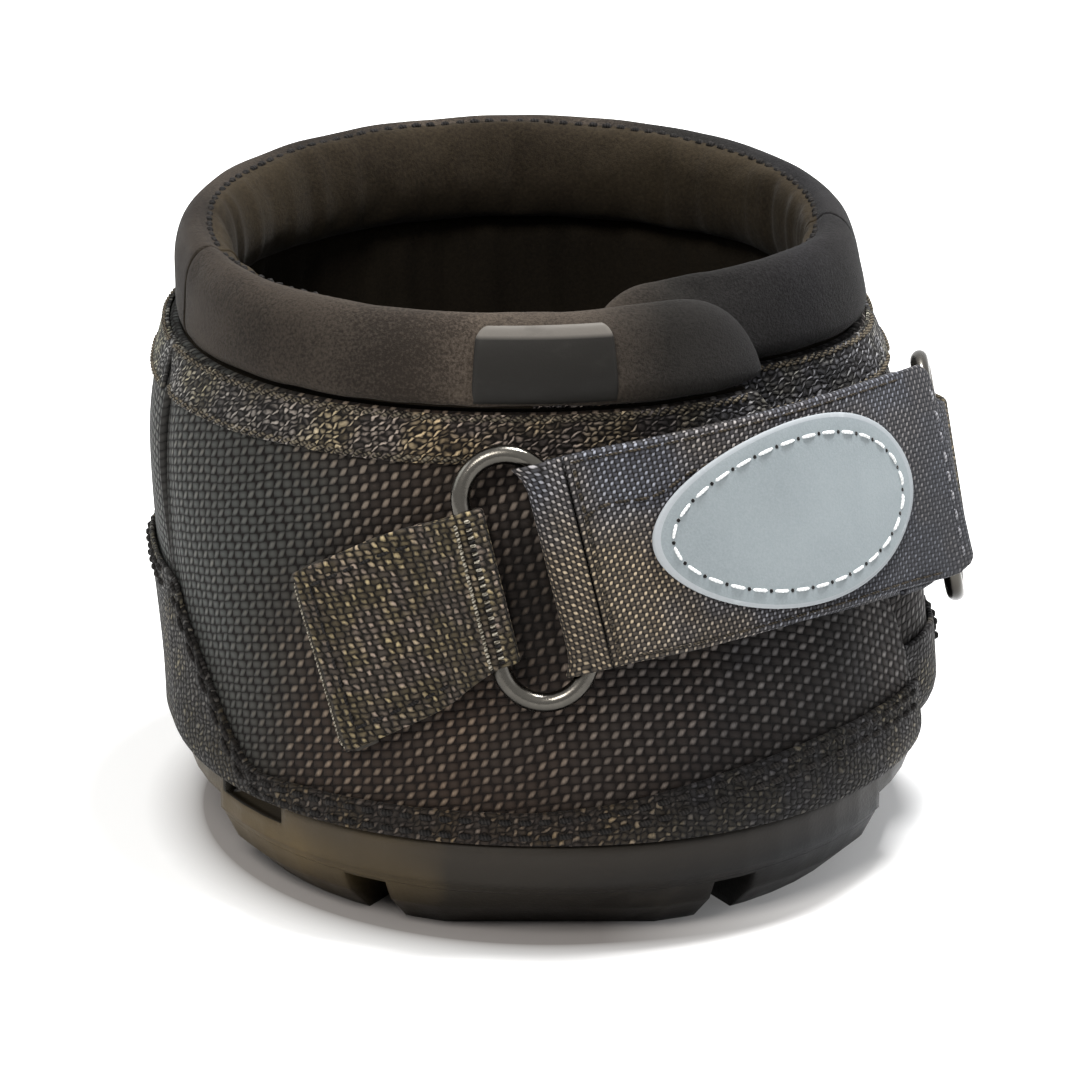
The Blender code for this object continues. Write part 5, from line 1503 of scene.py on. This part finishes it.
def thread_piece(name, stitches, radius, material):
    """Stitches as short closed tubes.

    Each is a row of stations: middle, outward and sideways directions, width and lift in thread
    radii, and the distance along the seam.
    """
    points, faces, uvs = [], [], []
    for stitch in stitches:
        faces += tube_faces(len(stitch), THREAD_SIDES, len(points))
        for middle, out, sideways, width, lift, here in stitch:
            for side, turn in enumerate(turns(THREAD_SIDES)):
                points.append(middle + out * (radius * (lift + width * sin(turn)))
                              + sideways * (radius * width * cos(turn)))
                uvs.append((here, side / THREAD_SIDES))
    return to_object(name, points, faces, uvs, material)


def stitch_row(name, kind, place_at, start, end, material):
    """Separate thread stitches along a line. place_at gives a point and the outward direction."""
    length, gap, radius = STITCHES[kind]
    count = max(1, int((end - start) / (length + gap)))
    pitch = (end - start) / count
    stitches = []
    for index in range(count):
        stitch = []
        for share, width, lift in STITCH_SHAPE:
            here = start + index * pitch + share * (pitch - gap)
            middle, out = place_at(here)
            direction = (place_at(here + 0.0002)[0] - middle).normalized()
            sideways = direction.cross(out).normalized()
            stitch.append((middle, sideways.cross(direction).normalized(), sideways, width, lift, here))
        stitches.append(stitch)
    return thread_piece(name, stitches, radius, material)


def whipped_row(name, place_at, end, material):
    """Slanted stitches side by side along a line, each leaning up and to the right."""
    stitches = []
    for index in range(int(end / WHIP_PITCH)):
        here = index * WHIP_PITCH
        middle, out = place_at(here)
        ahead = (place_at(here + 0.0003)[0] - middle).normalized()
        above = out.cross(ahead).normalized()
        stray = drift((here * 900.0, 0.0, 0.0))
        lean = ahead * WHIP_HALF * (1.0 + 0.3 * stray) + above * WHIP_RISE * (1.0 - 0.5 * stray)
        sideways = lean.cross(out).normalized()
        stitches.append([(middle + lean * share, out, sideways, width, lift, here + share * WHIP_HALF)
                         for share, width, lift in WHIP_SHAPE])
    return thread_piece(name, stitches, WHIP_RADIUS, material)


def wall_line(start, height_at, offset, dip):
    """Points along the wall from an angle, at the height that the angle has."""

    def place_at(length):
        angle = start + length / LOW_HALF_WIDTH
        height = height_at(angle)
        move = offset + wall_relief(angle, height) - dip(angle, height)
        return level_point(angle, height, move), wall_axes(angle, height)[2]

    return place_at


def make_wall_stitches(thread, whip_thread):
    offset = PIECE_GAP + RAND_THICKNESS
    band_offset = PIECE_GAP + BAND_THICKNESS
    for label, drop in (("upper", 0.0014), ("lower", 0.0042)):
        for name, side, top, start, end in (
                ("outer_hem", "outer_flap", hem_top, OUTER_HINGE + 0.03, FLAP_EDGE - 0.05),
                ("rear_rand", "rear", rear_rand_top, REAR_START + 0.03, REAR_END - 0.03)):
            line = wall_line(start, lambda angle, top=top, drop=drop: top(angle) - drop, offset, no_dip)
            sew(stitch_row(name + "_stitches_" + label, "hem", line, 0.0, arc(start, end), thread), side)
    for label, height in (("upper", WALL_TOP - 0.0006), ("lower", BAND_LOW + 0.0009)):
        for side, start, end in (("outer_flap", OUTER_HINGE + 0.02, flap_edge(height) - 0.02),
                                 ("rear", REAR_START + 0.02, REAR_END - 0.02),
                                 ("inner_flap", radians(34.0), INNER_HINGE - 0.02)):
            line = wall_line(start, lambda angle, height=height: height, band_offset, DIPS[side])
            name = side.split("_")[0] + "_band_whipping_" + label
            sew(whipped_row(name, line, arc(start, end), whip_thread), side)


def face_at(length, across, lift):
    """A point on webbing and the direction away from the boot."""
    point = webbing_point(length, across, lift)
    return point, (webbing_point(length, across, lift + 0.001) - point).normalized()


def tail_face(length, across):
    """A point on the outside of the strap's free end, and its outward direction."""
    return face_at(length, across, tail_lift(length) + STRAP_THICKNESS / 2.0)


def make_strap_stitches(thread, fold_thread):
    """Stitches by the strap's free end and its fold, one crossing it, and lines along its edges."""

    def along_end(distance):
        across = distance - STRAP_END_HALF_WIDTH
        length = STRAP_TAIL_END - STRAP_END_INSET
        place = length - tail_skew(length) * across / tail_half(length)
        return face_at(place, tail_middle(length) + across, tail_lift(length) + STRAP_THICKNESS / 2.0)

    def across_fold(distance):
        length = STRAP_TAIL_START + STRAP_FOLD_INSET
        return tail_face(length, tail_middle(length) + distance - STRAP_HALF_WIDTH)

    def crossing(distance):
        share = distance / CROSSING_RUN
        across = blend(*CROSSING_RISE, share) + CROSSING_SWAY * sin(share * 9.0)
        return tail_face(STRAP_TAIL_START + CROSSING_START + CROSSING_REACH * share, across)

    def edge(distance, sign):
        length = STRAP_TAIL_START + distance
        return tail_face(length, tail_middle(length) + sign * (tail_half(length) - STRAP_EDGE_INSET))

    edge_end = STRAP_TAIL_END - STRAP_TAIL_START - 0.006
    end_end = 2.0 * STRAP_END_HALF_WIDTH - 0.003
    fold_end = 2.0 * STRAP_HALF_WIDTH - 0.002
    for kind, suffix, line, start, end, material in (
            ("strap_end", "_stitches", along_end, 0.003, end_end, thread),
            ("strap_fold", "_stitches", across_fold, 0.002, fold_end, fold_thread),
            ("strap_crossing", "_stitches", crossing, 0.0, CROSSING_RUN, fold_thread),
            ("strap_edge", "_line_upper", lambda run: edge(run, 1.0), 0.001, edge_end, fold_thread),
            ("strap_edge", "_line_lower", lambda run: edge(run, -1.0), 0.001, edge_end, fold_thread)):
        hang(stitch_row(kind + suffix, kind, line, start, end, material), "strap_tail")


def make_label_stitches(thread, hole_material):
    """Stitches round the label with a needle hole between each two."""
    outline = [label_outline(FULL_TURN * index / LABEL_STEPS, LABEL_INSET)
               for index in range(LABEL_STEPS + 1)]
    along, across = zip(*outline)
    lengths = np.cumsum([0.0] + [dist(first, second) for first, second in zip(outline, outline[1:])])
    whole = float(lengths[-1])

    def round_label(distance):
        distance %= whole
        place = [float(np.interp(distance, lengths, values)) for values in (along, across)]
        return face_at(*label_place(*place, LABEL_THICKNESS))

    hang(stitch_row("label_stitches", "label", round_label, 0.0, whole, thread), "strap_tail")
    points, faces = [], []
    count = int(whole / HOLE_PITCH)
    for index in range(count):
        middle, out = round_label(index * whole / count - HOLE_SHIFT)
        sideways = out.orthogonal().normalized()
        other = out.cross(sideways)
        faces += tube_faces(2, HOLE_SIDES, len(points))
        for level, radius in HOLE_RINGS:
            points += [middle + out * level + (sideways * cos(turn) + other * sin(turn)) * radius
                       for turn in turns(HOLE_SIDES)]
    holes = to_object("label_needle_holes", points, faces, [(0.0, 0.0)] * len(points), hole_material)
    hang(holes, "strap_tail")


def make_tab_details(pale, dark, film):
    """The left tab's film edge with its bright rim, the stitches beside the ring and the box seam."""
    leg, slope, span = LEFT_RING_PLACE - RING_HALF_WIDTH, LEFT_TAB_SLOPE_SHARE, LEFT_TAB_LENGTH

    def face(distance, share, proud=0.0):
        place = min(max(distance, 0.0), span)
        across = -slope * distance + share * tab_width(place)
        return face_at(leg - distance, across, tab_lift(place, 1.0) + TAB_THICKNESS / 2.0 + proud)

    def film_end(share):
        past = (abs(share) - 1.0) * TAB_HALF_WIDTH / FILM_CORNER + 1.0
        return span + FILM_PAST - FILM_CORNER * corner_cut(past)

    def film_cell(share, part):
        distance = blend(span - FILM_START, film_end(max(min(share, 1.0), -1.0)), part)
        high, low = [face(distance, share, layer)[0] for layer in FILM_LAYERS]
        return high, low, (distance, share * TAB_HALF_WIDTH)

    def film_rim(distance):
        share = blend(-1.0, 1.0, distance / (2.0 * TAB_HALF_WIDTH))
        return face(film_end(share) - RIM_INSET, share * RIM_SHARE, FILM_LAYERS[0])

    def beside_ring(distance):
        whole = 2.0 * TAB_FOLD_HALF_WIDTH
        return lambda run: face(distance, blend(-BESIDE_SHARE, BESIDE_SHARE, run / whole))

    def straight(first, second, whole):
        return lambda run: face(*[blend(*pair, run / whole) for pair in zip(first, second)])

    shares = [blend(-FILM_SHARE, FILM_SHARE, index / 28.0) for index in range(29)]
    parts = [step / 6.0 for step in range(7)]
    hang(sheet_piece("left_tab_film", shares, parts, film_cell, film), "outer_flap")
    side_end = 2.0 * TAB_FOLD_HALF_WIDTH - 0.001
    rows = [("film_rim", "film_rim", film_rim, 0.0005, 2.0 * TAB_HALF_WIDTH - 0.0005, pale),
            ("ridge", "ridge", beside_ring(RIDGE_PLACE), 0.0, side_end, pale),
            ("bead", "bead", beside_ring(BEAD_PLACE), 0.0, side_end, dark),
            ("bead_light", "bead_light", beside_ring(BEAD_PLACE), BEAD_PITCH, side_end + BEAD_PITCH, pale)]
    far = span - BOX_INSET
    for name, first, second in (("end", (far, BOX_SHARE), (far, -BOX_SHARE)),
                                ("low", (far, -BOX_SHARE), (BOX_START, -BOX_SHARE)),
                                ("high", (far, BOX_SHARE), (BOX_START, BOX_SHARE))):
        whole = hypot(first[0] - second[0], (first[1] - second[1]) * TAB_HALF_WIDTH)
        rows.append(("seam_" + name, "tab_seam", straight(first, second, whole), 0.0, whole, dark))
    for name, *rule in rows:
        hang(stitch_row("left_tab_" + name, *rule), "outer_flap")


# Floor and world


def make_floor():
    """White ground that glows for the camera away from the boot, with a painted soft shadow by its foot in
    its colour and glow.
    """
    n = Surface("floor_paint")
    # Painted shadow: the floor darkens close round the sole.
    contact_shadow = n.level(n.reach((13.6, 13.2, 1.0), (0.0, -0.013, 0.0)), 0.98, 1.15) ** 0.6
    # The painted shadow is lighter on the right.
    contact_shadow = n.most(contact_shadow, n.level(n.east, 0.01, 0.07, 0.0, 0.85))
    n.finish(n.mix(contact_shadow, (0.30, 0.28, 0.27), (0.86, 0.86, 0.86)), 0.9)
    # The glow is weaker near the boot and takes the painted shadow too.
    far = n.level(n.reach(), 0.35, 0.9, 0.32, 1.0) * contact_shadow
    glow = n.add("ShaderNodeEmission", {"Color": (1.0, 1.0, 1.0), "Strength": far}).outputs[0]
    paint = n.shader.outputs[0]
    both = n.add("ShaderNodeAddShader", {0: paint, 1: glow}).outputs[0]
    choice = n.add("ShaderNodeMixShader", {0: n.seen(), 1: paint, 2: both}).outputs[0]
    n.put(n.tree.nodes["Material Output"].inputs[0], choice)
    mesh = bpy.data.meshes.new("floor")
    size = 4.0
    mesh.from_pydata([(-size, -size, 0.0), (size, -size, 0.0), (size, size, 0.0), (-size, size, 0.0)],
                     [], [(0, 1, 2, 3)])
    mesh.materials.append(n.owner)
    ground = bpy.data.objects.new("floor", mesh)
    bpy.context.scene.collection.objects.link(ground)


def make_world():
    """Dim bluish light for the boot in front of white for the camera."""
    world = bpy.data.worlds.new("studio")
    bpy.context.scene.world = world
    n = Nodes(world)
    dim = n.tree.nodes["Background"]
    n.put(dim.inputs["Color"], (0.93, 0.96, 1.0))
    n.put(dim.inputs["Strength"], 0.20)
    white = n.add("ShaderNodeBackground", {"Color": (1.0, 1.0, 1.0), "Strength": 1.0})
    choice = n.add("ShaderNodeMixShader", {0: n.seen(), 1: dim.outputs[0], 2: white.outputs[0]})
    n.put(n.tree.nodes["World Output"].inputs["Surface"], choice.outputs[0])


def make_weaves():
    nylon = weave_material("ballistic_nylon_weave", (0.00225, 0.0016), (0.005, 0.0036, 0.003),
                           ((0.021, 0.0150, 0.0118), (0.017, 0.0135, 0.0115)),
                           ((0.21, 0.176, 0.147), (0.152, 0.134, 0.119)), 0.00045, narrow=0.7,
                           shaded=0.7, plain=(0.060, 0.061, 0.058))
    strip = weave_material("rand_weave", (0.0015, 0.0011), (0.005, 0.004, 0.0035),
                           ((0.024, 0.019, 0.013), (0.019, 0.016, 0.015)),
                           ((0.24, 0.19, 0.12), (0.17, 0.15, 0.14)), 0.0005, weft_glint=0.4,
                           luck_share=0.85, stray=0.4, stray_scale=300.0, patch_scale=120.0)
    band = weave_material("top_band_weave", (0.0017, 0.0010), (0.006, 0.005, 0.0045),
                          ((0.042, 0.035, 0.025), (0.034, 0.030, 0.030)),
                          ((0.50, 0.43, 0.30), (0.40, 0.36, 0.34)), 0.0006, lean=0.7, narrow=0.6,
                          weft_glint=0.6, luck_share=0.85, stray=0.45, stray_scale=260.0, patch_scale=90.0)
    webbing = weave_material("coarse_webbing_weave", (0.0018, 0.0011), (0.005, 0.0038, 0.0026),
                             ((0.046, 0.036, 0.021), (0.043, 0.034, 0.027)),
                             ((0.34, 0.27, 0.15), (0.29, 0.225, 0.18)), 0.0006, lean=0.15, narrow=0.62,
                             weft_glint=0.5, left_weft_glint=0.5, luck_share=0.75, stray=0.17,
                             stray_scale=520.0, tint=False, patch_scale=190.0)
    strap = weave_material("strap_webbing_weave", (0.00095, 0.0008), (0.008, 0.0072, 0.0070),
                           ((0.042, 0.043, 0.052), (0.056, 0.045, 0.034)),
                           ((0.25, 0.26, 0.30), (0.40, 0.32, 0.22)), 0.00022, lean=0.3, narrow=0.75,
                           weft_glint=0.12, left_weft_glint=0.12, luck_share=0.55, tint=False,
                           patch_scale=60.0, golden=True, fade=(0.050, 0.075))
    return nylon, strip, band, webbing, strap


def main():
    make_camera()
    make_floor()
    make_world()
    area_lamp("key_lamp", (-0.45, -1.0, 1.2), 0.6, 18.0, (1.0, 0.97, 0.93))
    area_lamp("fill_lamp", (1.2, -0.6, 0.6), 0.9, 2.0, (0.93, 0.96, 1.0))
    area_lamp("top_lamp", (0.24, 0.16, 1.15), 0.34, 27.0, (1.0, 1.0, 1.0))
    area_lamp("left_lamp", (-1.3, 0.1, 0.7), 0.9, 5.0, (0.95, 1.0, 1.0))
    bpy.context.scene.view_settings.view_transform = "Standard"

    nylon, strip, band, webbing, strap = make_weaves()
    lining = fleece_material("lining_knit", (0.012, 0.009, 0.006), (0.034, 0.026, 0.016), 1300.0, 0.0002,
                             0.03, shade_below_height=0.112)
    collar = fleece_material("collar_brushed", (0.0095, 0.0075, 0.006), (0.030, 0.0245, 0.020), 1700.0,
                             0.00030, 0.03, 0.75, spread=0.08, tints=COLLAR_LIGHT_AND_SHADE_TINTS)
    board = fleece_material("insole_board_fibre", (0.06, 0.045, 0.03), (0.12, 0.09, 0.06), 700.0, 0.0001,
                            0.1)
    hook, loop, foam, hole = [fleece_material(name, (low,) * 3, (high,) * 3, scale, bump, sheen)
                              for name, low, high, scale, bump, sheen in (
                                  ("hook_tape_pile", 0.008, 0.035, 1100.0, 0.0006, 0.2),
                                  ("loop_tape_pile", 0.012, 0.05, 800.0, 0.0006, 0.4),
                                  ("footbed_foam_cells", 0.014, 0.035, 1600.0, 0.0002, 0.2),
                                  ("needle_hole", 0.004, 0.012, 900.0, 0.00025, 0.6))]
    sole = sole_material("sole_rubber_moulded")
    # The name tab gets a painted highlight along its top edge.
    tab_rubber = rubber_material("tab_rubber_moulded", (0.0085, 0.0078, 0.0068), (0.013, 0.012, 0.0105), 0.5,
                                 1800.0, 0.00003, 0.0005, NAME_TAB_TOP)
    film = rubber_material("tab_binding_film", (0.026, 0.0235, 0.020), (0.042, 0.037, 0.031), 0.6, 2200.0,
                           0.00003, specular=0.1)
    label_edge = rubber_material("label_cut_edge", (0.25, 0.27, 0.285), (0.33, 0.35, 0.365), 0.6)
    label = label_material("label_cover")
    steel = steel_material("ring_steel_dark", (0.105, 0.098, 0.086), 0.16)
    dark_thread = thread_material("dark_thread", (0.004, 0.0036, 0.0034), (0.017, 0.015, 0.014))
    pale_thread = thread_material("pale_thread", (0.62, 0.64, 0.64), (0.86, 0.87, 0.86))
    rim_thread = thread_material("tab_rim_thread", (0.06, 0.052, 0.038), (0.36, 0.33, 0.27))
    end_thread = thread_material("strap_end_thread", (0.10, 0.10, 0.11), (0.34, 0.34, 0.36))
    fold_thread = thread_material("fold_thread", (0.008, 0.007, 0.006), (0.05, 0.04, 0.028))
    whip_thread = thread_material("band_whipping_thread", (0.012, 0.010, 0.008), (0.13, 0.11, 0.08))

    for node, material in (("outsole", sole), ("insole_board", board), ("footbed", foam)):
        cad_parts[node].data.materials.clear()
        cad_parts[node].data.materials.append(material)

    make_walls(nylon, lining, strip, band)
    make_flap_panels(hook, loop)
    make_collars((collar, lining), dark_thread)
    make_name_tab(tab_rubber)
    make_tab("left_ring_tab", LEFT_RING_PLACE - RING_HALF_WIDTH, 1.0, LEFT_TAB_LENGTH, LEFT_TAB_SLOPE_SHARE,
             "outer_flap", webbing)
    make_tab("right_ring_tab", RIGHT_RING_PLACE + RING_HALF_WIDTH, -1.0, RIGHT_TAB_LENGTH,
             RIGHT_TAB_SLOPE_SHARE, "boot", webbing)
    make_ring("left_ring", LEFT_RING_PLACE, steel)
    make_ring("right_ring", RIGHT_RING_PLACE, steel)
    make_strap_base(strap)
    make_strap_tail(strap)
    make_strap_patches(loop, hook)
    make_label(label, label_edge)
    make_wall_stitches(dark_thread, whip_thread)
    make_strap_stitches(end_thread, fold_thread)
    make_label_stitches(pale_thread, hole)
    make_tab_details(rim_thread, dark_thread, film)


main()
